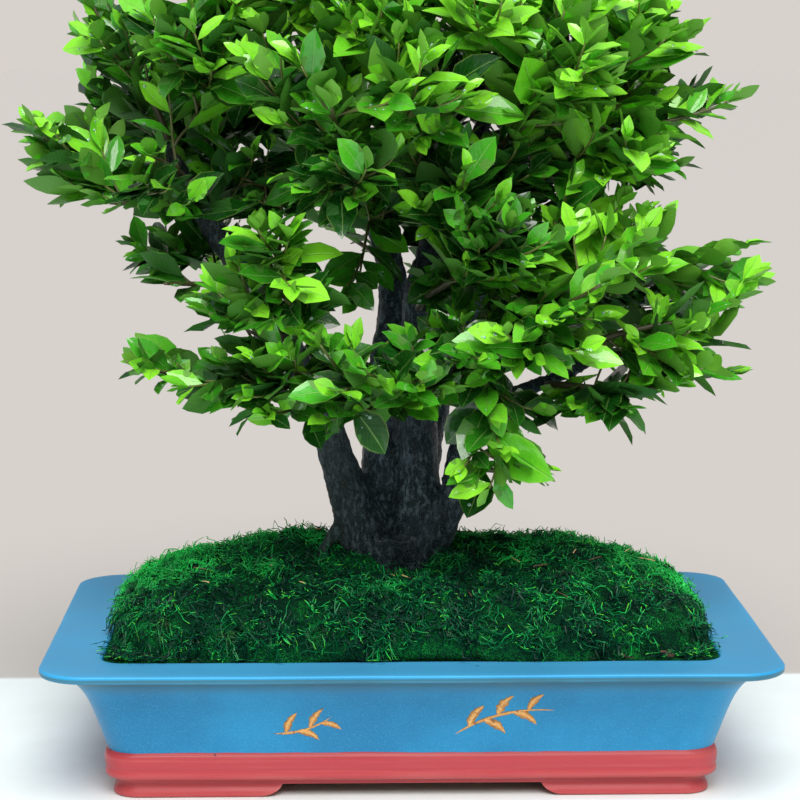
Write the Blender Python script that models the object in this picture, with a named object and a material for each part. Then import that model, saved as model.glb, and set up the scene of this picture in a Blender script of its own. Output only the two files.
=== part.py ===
"""A red sandalwood bonsai in a glazed rectangular pot, at its real size in metres.

+Z is up, the front of the pot faces -Y, and the origin lies under the middle of the pot, on the
surface that its feet stand on. One object is made for each piece: the pot, two drainage screens,
the soil, the moss, the trunk with its limbs, and one leafy spray for each branch.
"""

import math
import random

import bmesh
import bpy
from mathutils import Vector, noise
from mathutils.bvhtree import BVHTree

UP = Vector((0.0, 0.0, 1.0))
SEAT_GAP = 0.0003

# The pot: its rim, and how far in from the rim's edge the other parts lie
RIM_WIDTH = 0.420
RIM_DEPTH = 0.280
POT_HEIGHT = 0.080
LIP_WIDTH = 0.034
LIP_THICKNESS = 0.0045
LIP_ROUNDING = 0.0015
LIP_LEAN = 0.015
WALL_SHARES = (0.0, 0.25, 0.5, 0.72, 0.87, 0.95, 0.99)
WALL_INSET = 0.0355
BAND_INSET = 0.0340
BAND_BOTTOM = 0.0125
BAND_TOP = 0.0262
FOOT_INSET = 0.0385
FOOT_WAIST_INSET = 0.0405
FOOT_HEIGHT = 0.0095
FOOT_WALL = 0.014
FOOT_GAP_HEIGHT = 0.0075
FRONT_GAP_HALF = 0.087
SIDE_GAP_HALF = 0.046
GAP_BRACKET = 0.011
FLOOR_UNDERSIDE = 0.0105
FLOOR_TOP = 0.020
FLOOR_INSET = 0.050
RIM_CORNER = 0.028
WALL_CORNER = 0.019
CAVITY_CORNER = 0.014

# Drainage: two holes, each under a square plastic screen
DRAIN_X = 0.085
DRAIN_RADIUS = 0.011
SCREEN_SIDE = 0.030
SCREEN_THICKNESS = 0.0012
SCREEN_HOLES = 3
SCREEN_BAR = 0.0018

# Soil and moss: a mound that is steep at the rim and nearly flat round the trunk
SOIL_EDGE_HEIGHT = 0.071
MOSS_EDGE_HEIGHT = 0.0815
MOUND_RISE = 0.040
MOUND_SQUARENESS = 4
MOUND_POWER = 4
MOUND_ROUNDING = 0.45
MOSS_BUMP = 0.0022
MOSS_BUMP_SPACING = 0.011
SOIL_SHARES = (0.0, 0.45, 0.75, 0.92, 1.0)
MOSS_SHARES = (0.0, 0.2, 0.4, 0.6, 0.75, 0.87, 0.96, 1.0)

# The root ball: an oval plug under the trunk, in a plain hole a little left of the pot's middle
TRUNK_X = -0.009
TRUNK_Y = 0.0
ROOT_BALL_BOTTOM = 0.046
ROOT_BALL_TOP = 0.108
ROOT_BALL_HALF_WIDTH = 0.0360
ROOT_BALL_HALF_DEPTH = 0.0290

# Limbs: points on each one's middle line, with the limb's radius there
LIMBS = {
    "foot_left": ((-0.019, 0.000, 0.098, 0.0235), (-0.019, -0.001, 0.135, 0.0235)),
    "foot_right": ((0.001, 0.000, 0.098, 0.0235), (0.001, -0.002, 0.135, 0.0220)),
    "left": (
        (-0.022, -0.004, 0.125, 0.0200),
        (-0.034, -0.008, 0.155, 0.0130),
        (-0.046, -0.012, 0.192, 0.0102),
        (-0.064, -0.018, 0.235, 0.0090),
        (-0.089, -0.020, 0.283, 0.0086),
        (-0.116, -0.018, 0.321, 0.0068),
        (-0.140, -0.012, 0.362, 0.0046),
    ),
    "middle_left": (
        (-0.012, 0.004, 0.130, 0.0170),
        (-0.016, 0.007, 0.165, 0.0118),
        (-0.015, 0.012, 0.219, 0.0106),
        (-0.008, 0.025, 0.279, 0.0090),
        (-0.024, 0.034, 0.335, 0.0068),
        (-0.048, 0.036, 0.392, 0.0042),
    ),
    "middle_right": (
        (0.002, -0.004, 0.130, 0.0170),
        (0.006, -0.005, 0.165, 0.0126),
        (0.006, -0.005, 0.221, 0.0112),
        (0.007, -0.006, 0.281, 0.0092),
        (0.027, -0.012, 0.341, 0.0068),
        (0.052, -0.012, 0.396, 0.0042),
    ),
    "right": (
        (0.010, -0.006, 0.128, 0.0150),
        (0.026, -0.015, 0.156, 0.0090),
        (0.029, -0.019, 0.180, 0.0070),
        (0.039, -0.025, 0.210, 0.0058),
        (0.072, -0.035, 0.227, 0.0046),
        (0.108, -0.040, 0.243, 0.0036),
    ),
    "back": (
        (-0.002, 0.008, 0.128, 0.0170),
        (0.010, 0.026, 0.172, 0.0102),
        (0.020, 0.040, 0.214, 0.0088),
        (0.038, 0.055, 0.258, 0.0075),
        (0.056, 0.062, 0.308, 0.0060),
        (0.066, 0.060, 0.362, 0.0042),
    ),
    "root": (
        (-0.028, -0.008, 0.146, 0.0070),
        (-0.045, -0.015, 0.136, 0.0042),
        (-0.057, -0.026, 0.116, 0.0032),
    ),
}
LIMB_SIDES = 12
LIMB_STEP = 0.004
BARK_VOXEL = 0.0022
BARK_FACES_KEPT = 850
ROOT_CLEARANCE = 0.0008

# Sprays: the limb each grows from, how far along it, and the place that its outermost leaf reaches
SPRAYS = {
    "spray_low_left": ("left", 0.36, (-0.178, -0.052, 0.249)),
    "spray_low_left_front": ("left", 0.28, (-0.095, -0.112, 0.238)),
    "spray_low_front": ("middle_right", 0.30, (-0.012, -0.135, 0.245)),
    "spray_low_cluster": ("right", 0.30, (0.076, -0.082, 0.190)),
    "spray_low_right_front": ("right", 0.78, (0.138, -0.100, 0.222)),
    "spray_low_right": ("right", 0.99, (0.200, -0.034, 0.238)),
    "spray_low_right_back": ("back", 0.42, (0.160, 0.078, 0.245)),
    "spray_low_back": ("back", 0.32, (0.040, 0.142, 0.240)),
    "spray_low_left_back": ("middle_left", 0.34, (-0.110, 0.116, 0.248)),
    "spray_mid_left": ("left", 0.84, (-0.222, -0.026, 0.356)),
    "spray_mid_left_low": ("left", 0.64, (-0.196, -0.050, 0.306)),
    "spray_mid_left_front": ("left", 0.56, (-0.108, -0.128, 0.308)),
    "spray_mid_front": ("middle_right", 0.50, (0.012, -0.159, 0.318)),
    "spray_mid_right_front": ("middle_right", 0.44, (0.112, -0.128, 0.300)),
    "spray_mid_right_low": ("right", 0.90, (0.196, -0.084, 0.282)),
    "spray_mid_right": ("middle_right", 0.56, (0.226, -0.010, 0.316)),
    "spray_mid_right_back": ("back", 0.62, (0.176, 0.098, 0.322)),
    "spray_mid_back": ("back", 0.54, (0.040, 0.150, 0.318)),
    "spray_mid_back_left": ("middle_left", 0.60, (-0.050, 0.146, 0.330)),
    "spray_mid_left_back": ("left", 0.66, (-0.168, 0.084, 0.322)),
    "spray_up_left_front": ("left", 0.90, (-0.166, -0.100, 0.398)),
    "spray_up_front_left": ("middle_left", 0.72, (-0.052, -0.140, 0.402)),
    "spray_up_front_right": ("middle_right", 0.76, (0.070, -0.138, 0.392)),
    "spray_up_right": ("middle_right", 0.88, (0.200, -0.030, 0.396)),
    "spray_up_right_back": ("back", 0.84, (0.142, 0.112, 0.400)),
    "spray_up_back": ("back", 0.92, (0.030, 0.146, 0.396)),
    "spray_up_left_back": ("middle_left", 0.78, (-0.116, 0.122, 0.400)),
    "spray_top_left": ("left", 0.99, (-0.164, 0.006, 0.440)),
    "spray_top_front": ("middle_right", 0.93, (0.002, -0.070, 0.454)),
    "spray_top_right": ("middle_right", 0.99, (0.116, -0.006, 0.450)),
    "spray_top_middle": ("middle_left", 0.98, (-0.052, 0.010, 0.466)),
    "spray_top_back": ("back", 0.99, (0.030, 0.090, 0.450)),
}
CROWN_MIDDLE = Vector((0.0, 0.0, 0.300))
STUB_LENGTH = 0.006
STUB_RISE = 0.35
LIMB_END = 0.97
STUB_RADIUS = 0.0021
STUB_BASE_RADIUS = 0.0027
STEM_SIDES = 4
STEM_SEGMENTS = 4
STEM_TIP_RADIUS = 0.0011
STEM_WANDER = 0.004
STEM_STRAIGHT = 0.006
SHOOT_SIDES = 3
SHOOT_RADIUS = 0.0010
SHOOT_SHARES = (0.42, 0.60, 0.80)
SHOOT_LENGTHS = (0.026, 0.040)
SHOOT_RISE = (0.0, 0.8)
LEAF_LENGTHS = (0.027, 0.038)
LEAF_WIDTH_SHARE = 0.47
LEAF_RIB = 0.0014
LEAF_DROOP = 0.16
LEAF_ANGLE = math.radians(50)
LEAF_CLEARANCE = 0.0007
PLACING_TRIES = 14
STEM_TRIES = 60
STEM_SHORT_OF_TIP = 0.026
STEM_LEAVES = ((0.88, 1.0),)
LEAST_GAP = 0.000002

COLOURS = {
    "blue_glaze": ((0.030, 0.205, 0.420), 0.35),
    "red_glaze": ((0.450, 0.040, 0.045), 0.45),
    "screen_plastic": ((0.030, 0.030, 0.030), 0.60),
    "soil": ((0.045, 0.028, 0.018), 0.95),
    "moss": ((0.008, 0.080, 0.018), 0.90),
    "bark": ((0.022, 0.019, 0.018), 0.80),
    "leaf": ((0.050, 0.260, 0.012), 0.35),
    "twig": ((0.110, 0.085, 0.035), 0.70),
}


def clear_scene():
    for obj in list(bpy.data.objects):
        bpy.data.objects.remove(obj)


def material(name):
    """The finish of that name, made the first time it is asked for."""
    found = bpy.data.materials.get(name)
    if found:
        return found
    colour, roughness = COLOURS[name]
    made = bpy.data.materials.new(name)
    made.use_nodes = True
    shader = made.node_tree.nodes["Principled BSDF"]
    shader.inputs["Base Color"].default_value = (*colour, 1.0)
    shader.inputs["Roughness"].default_value = roughness
    shader.inputs["Metallic"].default_value = 0.0
    return made


def object_from(bm, name, *finishes):
    """Turns the bmesh into a scene object with faces pointing out."""
    bmesh.ops.recalc_face_normals(bm, faces=bm.faces)
    mesh = bpy.data.meshes.new(name)
    bm.to_mesh(mesh)
    bm.free()
    obj = bpy.data.objects.new(name, mesh)
    for finish in finishes:
        mesh.materials.append(material(finish))
    bpy.context.scene.collection.objects.link(obj)
    return obj


def apply_modifiers(obj):
    graph = bpy.context.evaluated_depsgraph_get()
    graph.update()
    mesh = bpy.data.meshes.new_from_object(obj.evaluated_get(graph), depsgraph=graph)
    obj.modifiers.clear()
    obj.data = mesh


def combine(obj, others, operation, solver="EXACT"):
    """Joins the others to the object, or cuts them from it, and removes them."""
    group = bpy.data.collections.new(obj.name + "_tools")
    for other in others:
        group.objects.link(other)
    boolean = obj.modifiers.new("combine", "BOOLEAN")
    boolean.operation = operation
    boolean.solver = solver
    boolean.operand_type = "COLLECTION"
    boolean.collection = group
    apply_modifiers(obj)
    for other in others:
        bpy.data.objects.remove(other)
    bpy.data.collections.remove(group)


def rounded_rectangle(half_x, half_y, radius, height, corner_points=5, long_points=0, short_points=0):
    """Points round a rectangle with round corners, anticlockwise from its front right corner."""
    sides = (
        (1, -1, -90, short_points),
        (1, 1, 0, long_points),
        (-1, 1, 90, short_points),
        (-1, -1, 180, long_points),
    )
    points = []
    for i, (sign_x, sign_y, first_angle, side_points) in enumerate(sides):
        middle = Vector((sign_x * (half_x - radius), sign_y * (half_y - radius), height))
        for k in range(corner_points):
            angle = math.radians(first_angle + 90 * k / (corner_points - 1))
            points.append(middle + radius * Vector((math.cos(angle), math.sin(angle), 0.0)))
        next_x, next_y, next_angle, _ = sides[(i + 1) % 4]
        start_angle = math.radians(next_angle)
        corner = Vector((next_x * (half_x - radius), next_y * (half_y - radius), height))
        side_end = corner + radius * Vector((math.cos(start_angle), math.sin(start_angle), 0.0))
        side_start = points[-1]
        for k in range(side_points):
            points.append(side_start.lerp(side_end, (k + 1) / (side_points + 1)))
    return points


def loft(bm, rings, closed=False):
    """Joins rings of equally many points with triangles, and caps the two ends or joins them."""
    loops = [[bm.verts.new(point) for point in ring] for ring in rings]
    pairs = list(zip(loops, loops[1:])) + ([(loops[-1], loops[0])] if closed else [])
    count = len(loops[0])
    for lower, upper in pairs:
        for k in range(count):
            after = (k + 1) % count
            bm.faces.new((lower[k], lower[after], upper[after]))
            bm.faces.new((lower[k], upper[after], upper[k]))
    if not closed:
        bm.faces.new(reversed(loops[0]))
        bm.faces.new(loops[-1])


def pot_ring(inset, height, radius):
    return rounded_rectangle(RIM_WIDTH / 2 - inset, RIM_DEPTH / 2 - inset, radius, height)


def wall_rings():
    """The outside wall: it leans out a little, then turns out under the lip on an arc."""
    lip_underside = POT_HEIGHT - LIP_THICKNESS
    rings = []
    for share in WALL_SHARES:
        turn = 1.0 - math.sqrt(1.0 - share**6)
        inset = WALL_INSET - LIP_LEAN * share - (WALL_INSET - LIP_LEAN - LIP_ROUNDING) * turn
        height = BAND_TOP + 0.0003 + (lip_underside - BAND_TOP) * share
        rings.append(pot_ring(inset, height, WALL_CORNER + (RIM_CORNER - WALL_CORNER) * turn))
    return rings


def pot_body():
    """The pot as one loft, from the hollow under its floor, over the lip and down to the floor."""
    under_inset = FOOT_INSET + FOOT_WALL
    outside = [
        pot_ring(under_inset, FLOOR_UNDERSIDE, 0.008),
        pot_ring(under_inset, 0.0, 0.008),
        pot_ring(FOOT_INSET, 0.0, 0.015),
        pot_ring(FOOT_WAIST_INSET, FOOT_HEIGHT * 0.7, 0.014),
        pot_ring(FOOT_WAIST_INSET, FOOT_HEIGHT, 0.014),
        pot_ring(BAND_INSET + 0.0008, BAND_BOTTOM, 0.016),
        pot_ring(BAND_INSET, BAND_BOTTOM + 0.0015, 0.017),
        pot_ring(BAND_INSET, BAND_TOP - 0.0020, 0.018),
        pot_ring(BAND_INSET + 0.0010, BAND_TOP - 0.0003, 0.018),
    ]
    lip = [
        pot_ring(0.0, POT_HEIGHT - LIP_THICKNESS + LIP_ROUNDING, RIM_CORNER),
        pot_ring(0.0, POT_HEIGHT - LIP_ROUNDING, RIM_CORNER),
        pot_ring(LIP_ROUNDING, POT_HEIGHT, RIM_CORNER - LIP_ROUNDING),
        pot_ring(LIP_WIDTH - LIP_ROUNDING, POT_HEIGHT, CAVITY_CORNER + LIP_ROUNDING),
        pot_ring(LIP_WIDTH, POT_HEIGHT - LIP_ROUNDING, CAVITY_CORNER),
    ]
    inside = [
        pot_ring(LIP_WIDTH, SOIL_EDGE_HEIGHT, CAVITY_CORNER),
        pot_ring(FLOOR_INSET - 0.004, FLOOR_TOP + 0.004, CAVITY_CORNER),
        pot_ring(FLOOR_INSET, FLOOR_TOP, CAVITY_CORNER - 0.004),
    ]
    bm = bmesh.new()
    loft(bm, outside + wall_rings() + lip + inside)
    return object_from(bm, "pot", "blue_glaze", "red_glaze")


def foot_gap(half_gap, along_x):
    """A prism that clears the gap between two feet, with a bracket curve at each end."""
    bracket = []
    for k in range(5):
        turn = math.radians(90 * k / 4)
        out = half_gap - GAP_BRACKET * (1 - math.cos(turn))
        bracket.append((out, FOOT_GAP_HEIGHT * math.sin(turn)))
    outline = [(half_gap, -0.005)] + bracket
    outline += [(-out, height) for out, height in reversed(outline)]
    reach = RIM_WIDTH / 2
    bm = bmesh.new()
    rings = []
    for end in (-reach, reach):
        ring = [(end, out, height) if along_x else (out, end, height) for out, height in outline]
        rings.append([Vector(point) for point in ring])
    loft(bm, rings)
    return object_from(bm, "foot_gap")


def drain_hole(sign):
    bm = bmesh.new()
    rings = []
    for height in (FLOOR_UNDERSIDE - 0.003, FLOOR_TOP + 0.003):
        middle = Vector((sign * DRAIN_X, 0.0, height))
        turns = [2 * math.pi * k / 16 for k in range(16)]
        rings.append([middle + DRAIN_RADIUS * Vector((math.cos(a), math.sin(a), 0.0)) for a in turns])
    loft(bm, rings)
    return object_from(bm, "drain_hole")


def make_pot():
    pot = pot_body()
    gaps = [foot_gap(FRONT_GAP_HALF, along_x=False), foot_gap(SIDE_GAP_HALF, along_x=True)]
    combine(pot, gaps[:1], "DIFFERENCE")
    combine(pot, gaps[1:], "DIFFERENCE")
    combine(pot, [drain_hole(-1), drain_hole(1)], "DIFFERENCE")
    for face in pot.data.polygons:
        outside = abs(face.normal.z) < 0.99 or face.center.z < FLOOR_TOP - 0.002
        face.material_index = 1 if face.center.z < BAND_TOP and outside else 0
    pot.data.set_sharp_from_angle(angle=math.radians(35))
    return pot


def make_screen(name, sign):
    """A square of plastic mesh that keeps the soil off one drainage hole."""
    pitch = (SCREEN_SIDE - SCREEN_BAR) / SCREEN_HOLES
    lines = [0.0]
    for k in range(SCREEN_HOLES):
        lines += [k * pitch + SCREEN_BAR, (k + 1) * pitch]
    lines.append(SCREEN_SIDE)
    low = Vector((sign * DRAIN_X - SCREEN_SIDE / 2, -SCREEN_SIDE / 2, FLOOR_TOP + SEAT_GAP))
    bm = bmesh.new()
    grid = [[bm.verts.new(low + Vector((x, y, 0.0))) for y in lines] for x in lines]
    for i in range(len(lines) - 1):
        for j in range(len(lines) - 1):
            if i % 2 == 0 or j % 2 == 0:
                bm.faces.new((grid[i][j], grid[i + 1][j], grid[i + 1][j + 1], grid[i][j + 1]))
    raised = bmesh.ops.extrude_face_region(bm, geom=bm.faces[:], use_keep_orig=True)["geom"]
    corners = [part for part in raised if isinstance(part, bmesh.types.BMVert)]
    bmesh.ops.translate(bm, vec=UP * SCREEN_THICKNESS, verts=corners)
    return object_from(bm, name, "screen_plastic")


def mound_height(x, y, edge_height):
    """Height of the mound's surface: steep at the pot's edge and nearly flat in the middle."""
    half_x = RIM_WIDTH / 2 - LIP_WIDTH
    half_y = RIM_DEPTH / 2 - LIP_WIDTH
    power = MOUND_SQUARENESS
    reach = min(1.0, (abs(x / half_x) ** power + abs(y / half_y) ** power) ** (1 / power))
    return edge_height + MOUND_RISE * (1.0 - reach**MOUND_POWER) ** MOUND_ROUNDING


def root_ball_edge(angle, gap, height):
    """The point of the root ball's oval at that angle, moved out by the gap."""
    x = TRUNK_X + (ROOT_BALL_HALF_WIDTH + gap) * math.cos(angle)
    y = TRUNK_Y + (ROOT_BALL_HALF_DEPTH + gap) * math.sin(angle)
    return Vector((x, y, height))


def mound_rings(edge, shares, height_at):
    """Rings from the root ball's hole out to the edge, each a share of the way between them."""
    rings = []
    for share in shares:
        ring = []
        for point in edge:
            angle = math.atan2(point.y - TRUNK_Y, point.x - TRUNK_X)
            hole = root_ball_edge(angle, SEAT_GAP, 0.0)
            place = hole.lerp(Vector((point.x, point.y, 0.0)), share)
            ring.append(Vector((place.x, place.y, height_at(place))))
        rings.append(ring)
    return rings


def cavity_outline(extra_inset, height):
    half_x = RIM_WIDTH / 2 - extra_inset
    half_y = RIM_DEPTH / 2 - extra_inset
    return rounded_rectangle(half_x, half_y, CAVITY_CORNER, height, 4, long_points=7, short_points=3)


def soil_surface(place):
    return mound_height(place.x, place.y, SOIL_EDGE_HEIGHT)


def moss_surface(place):
    """The moss's own surface, in small tufts that sink towards the trunk."""
    bump = MOSS_BUMP * noise.noise(place / MOSS_BUMP_SPACING)
    return mound_height(place.x, place.y, MOSS_EDGE_HEIGHT) + bump


def make_soil():
    """The soil fills the pot, with a plain blind hole for the trunk and a hollow over each screen."""
    edge = cavity_outline(LIP_WIDTH + SEAT_GAP, 0.0)
    top = mound_rings(edge, SOIL_SHARES, soil_surface)
    hole_floor = ROOT_BALL_BOTTOM - SEAT_GAP
    hole = [Vector((point.x, point.y, hole_floor)) for point in top[0]]
    walls = [
        cavity_outline(FLOOR_INSET - 0.004 + 0.0005, FLOOR_TOP + 0.004),
        cavity_outline(FLOOR_INSET + 0.0012, FLOOR_TOP + SEAT_GAP),
    ]
    bm = bmesh.new()
    loft(bm, [hole] + top + walls)
    soil = object_from(bm, "soil", "soil")
    hollows = []
    for sign in (-1, 1):
        bm = bmesh.new()
        bmesh.ops.create_cube(bm, size=1.0)
        side = SCREEN_SIDE + 4 * SEAT_GAP
        top_of_hollow = FLOOR_TOP + SCREEN_THICKNESS + 2 * SEAT_GAP
        depth = top_of_hollow - FLOOR_TOP + 0.002
        bmesh.ops.scale(bm, vec=(side, side, depth), verts=bm.verts)
        bmesh.ops.translate(bm, vec=(sign * DRAIN_X, 0.0, top_of_hollow - depth / 2), verts=bm.verts)
        hollows.append(object_from(bm, "hollow"))
    combine(soil, hollows, "DIFFERENCE")
    return soil


def make_moss(root_clearance):
    """The moss lies on the soil as one mat with a hole for the trunk and one for its side root."""
    edge = cavity_outline(LIP_WIDTH + SEAT_GAP, 0.0)
    top = mound_rings(edge, MOSS_SHARES, moss_surface)
    under = mound_rings(edge, SOIL_SHARES, lambda place: soil_surface(place) + SEAT_GAP)
    bm = bmesh.new()
    loft(bm, top[::-1] + under, closed=True)
    moss = object_from(bm, "moss", "moss")
    combine(moss, [root_clearance], "DIFFERENCE")
    return moss


def smooth_path(points, step):
    """Points along a Catmull-Rom curve through the given ones, about a step apart, all with a radius."""
    knots = [Vector(point) for point in points]
    knots = [2 * knots[0] - knots[1]] + knots + [2 * knots[-1] - knots[-2]]
    path = []
    for before, start, end, after in zip(knots, knots[1:], knots[2:], knots[3:]):
        pieces = max(2, round((end.xyz - start.xyz).length / step))
        for k in range(pieces):
            t = k / pieces
            path.append(
                0.5
                * (
                    2 * start
                    + (end - before) * t
                    + (2 * before - 5 * start + 4 * end - after) * t**2
                    + (3 * start - before - 3 * end + after) * t**3
                )
            )
    path.append(knots[-2])
    return path


def tube(bm, places, radii, sides, first_side=None):
    """A closed tube along the places, with its rings turned as little as possible."""
    across = first_side or (places[1] - places[0]).orthogonal()
    rings = []
    for k, (place, radius) in enumerate(zip(places, radii)):
        along = (places[min(k + 1, len(places) - 1)] - places[max(k - 1, 0)]).normalized()
        across = (across - along * across.dot(along)).normalized()
        other = along.cross(across)
        turns = [2 * math.pi * i / sides for i in range(sides)]
        rings.append([place + radius * (math.cos(a) * across + math.sin(a) * other) for a in turns])
    loft(bm, rings)


def limb_path(name):
    return smooth_path(LIMBS[name], LIMB_STEP)


def limb_tube(bm, name):
    path = limb_path(name)
    tube(bm, [p.xyz for p in path], [p.w for p in path], LIMB_SIDES)


def spray_start(name):
    """Where the spray's stub leaves the limb's middle line, its direction, and its length."""
    limb, share, tip = SPRAYS[name]
    path = limb_path(limb)
    along = share * (len(path) - 1)
    index = min(int(along), len(path) - 2)
    place = path[index].lerp(path[index + 1], along - index)
    direction = (Vector(tip) - place.xyz).normalized() + STUB_RISE * UP
    direction.normalize()
    if share > LIMB_END:
        return place.xyz, direction, place.w + STUB_LENGTH
    limb_direction = (path[index + 1].xyz - path[index].xyz).normalized()
    direction -= 0.5 * direction.dot(limb_direction) * limb_direction
    direction.normalize()
    slant = direction.cross(limb_direction).length
    return place.xyz, direction, place.w / slant + STUB_LENGTH


def across_stub(direction):
    return direction.cross(UP).normalized()


def root_ball():
    """The plug of roots under the trunk, with the same oval as its hole in the soil."""
    edge = cavity_outline(LIP_WIDTH + SEAT_GAP, 0.0)
    angles = [math.atan2(point.y - TRUNK_Y, point.x - TRUNK_X) for point in edge]
    heights = (ROOT_BALL_BOTTOM, ROOT_BALL_TOP)
    bm = bmesh.new()
    loft(bm, [[root_ball_edge(angle, 0.0, height) for angle in angles] for height in heights])
    return object_from(bm, "root_ball")


def make_trunk():
    """The trunk, its limbs and side root as one body, with a stub where each spray goes on."""
    bm = bmesh.new()
    for name in LIMBS:
        limb_tube(bm, name)
    trunk = object_from(bm, "trunk", "bark")
    remesh = trunk.modifiers.new("join", "REMESH")
    remesh.mode = "VOXEL"
    remesh.voxel_size = BARK_VOXEL
    soften = trunk.modifiers.new("soften", "SMOOTH")
    soften.iterations = 6
    soften.factor = 0.5
    apply_modifiers(trunk)
    reduce = trunk.modifiers.new("reduce", "DECIMATE")
    triangles = sum(len(face.vertices) - 2 for face in trunk.data.polygons)
    reduce.ratio = BARK_FACES_KEPT / triangles
    apply_modifiers(trunk)
    combine(trunk, [root_ball()], "UNION")
    stubs = []
    for name in SPRAYS:
        middle, direction, length = spray_start(name)
        bm = bmesh.new()
        ends = [middle, middle + direction * length]
        tube(bm, ends, [STUB_BASE_RADIUS, STUB_RADIUS], STEM_SIDES, across_stub(direction))
        stubs.append(object_from(bm, "stub"))
    combine(trunk, stubs, "UNION")
    trunk.data.shade_smooth()
    return trunk


def root_clearance():
    """The space that the side root takes in the moss, a little larger than the root."""
    path = limb_path("root")
    path.append(2 * path[-1] - path[-2])
    bm = bmesh.new()
    tube(bm, [p.xyz for p in path], [p.w + ROOT_CLEARANCE for p in path], 8)
    return object_from(bm, "root_clearance")


def blade(base, direction, normal, length, width, extra=0.0):
    """A leaf as a closed blade with sharp edges, a ridge along its rib, and ends that curve down."""
    direction = direction.normalized()
    side = direction.cross(normal).normalized()
    normal = side.cross(direction)
    points = [base - direction * extra]
    for share, half_share in ((0.34, 0.50), (0.68, 0.40)):
        middle = base + direction * (share * length) - normal * (LEAF_DROOP * length * share**2)
        half = side * (half_share * width + extra)
        low = middle - normal * extra
        points += [low - half, middle + normal * (LEAF_RIB + extra), low + half]
    points.append(base + direction * (length + extra) - normal * (LEAF_DROOP * length))
    faces = [(0, 1, 2), (0, 2, 3), (0, 3, 1), (4, 7, 5), (5, 7, 6), (6, 7, 4)]
    for near, far in ((1, 2), (2, 3), (3, 1)):
        faces += [(near, near + 3, far + 3), (near, far + 3, far)]
    return points, faces


class Room:
    """The space that finished pieces take up, each under its own key."""

    def __init__(self):
        self.taken = {}

    def take(self, key, points, faces):
        self.taken[key] = BVHTree.FromPolygons(points, faces)

    def take_object(self, key, obj):
        points = [vert.co for vert in obj.data.vertices]
        self.take(key, points, [face.vertices[:] for face in obj.data.polygons])

    def is_free(self, points, faces, besides=()):
        tree = BVHTree.FromPolygons(points, faces)
        return not any(tree.overlap(other) for key, other in self.taken.items() if key not in besides)


def tube_points(places, radii, sides):
    bm = bmesh.new()
    tube(bm, places, radii, sides)
    bm.verts.index_update()
    points = [vert.co.copy() for vert in bm.verts]
    faces = [[vert.index for vert in face.verts] for face in bm.faces]
    bm.free()
    return points, faces


def random_direction(rng):
    return Vector((rng.uniform(-1, 1), rng.uniform(-1, 1), rng.uniform(-1, 1)))


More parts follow.
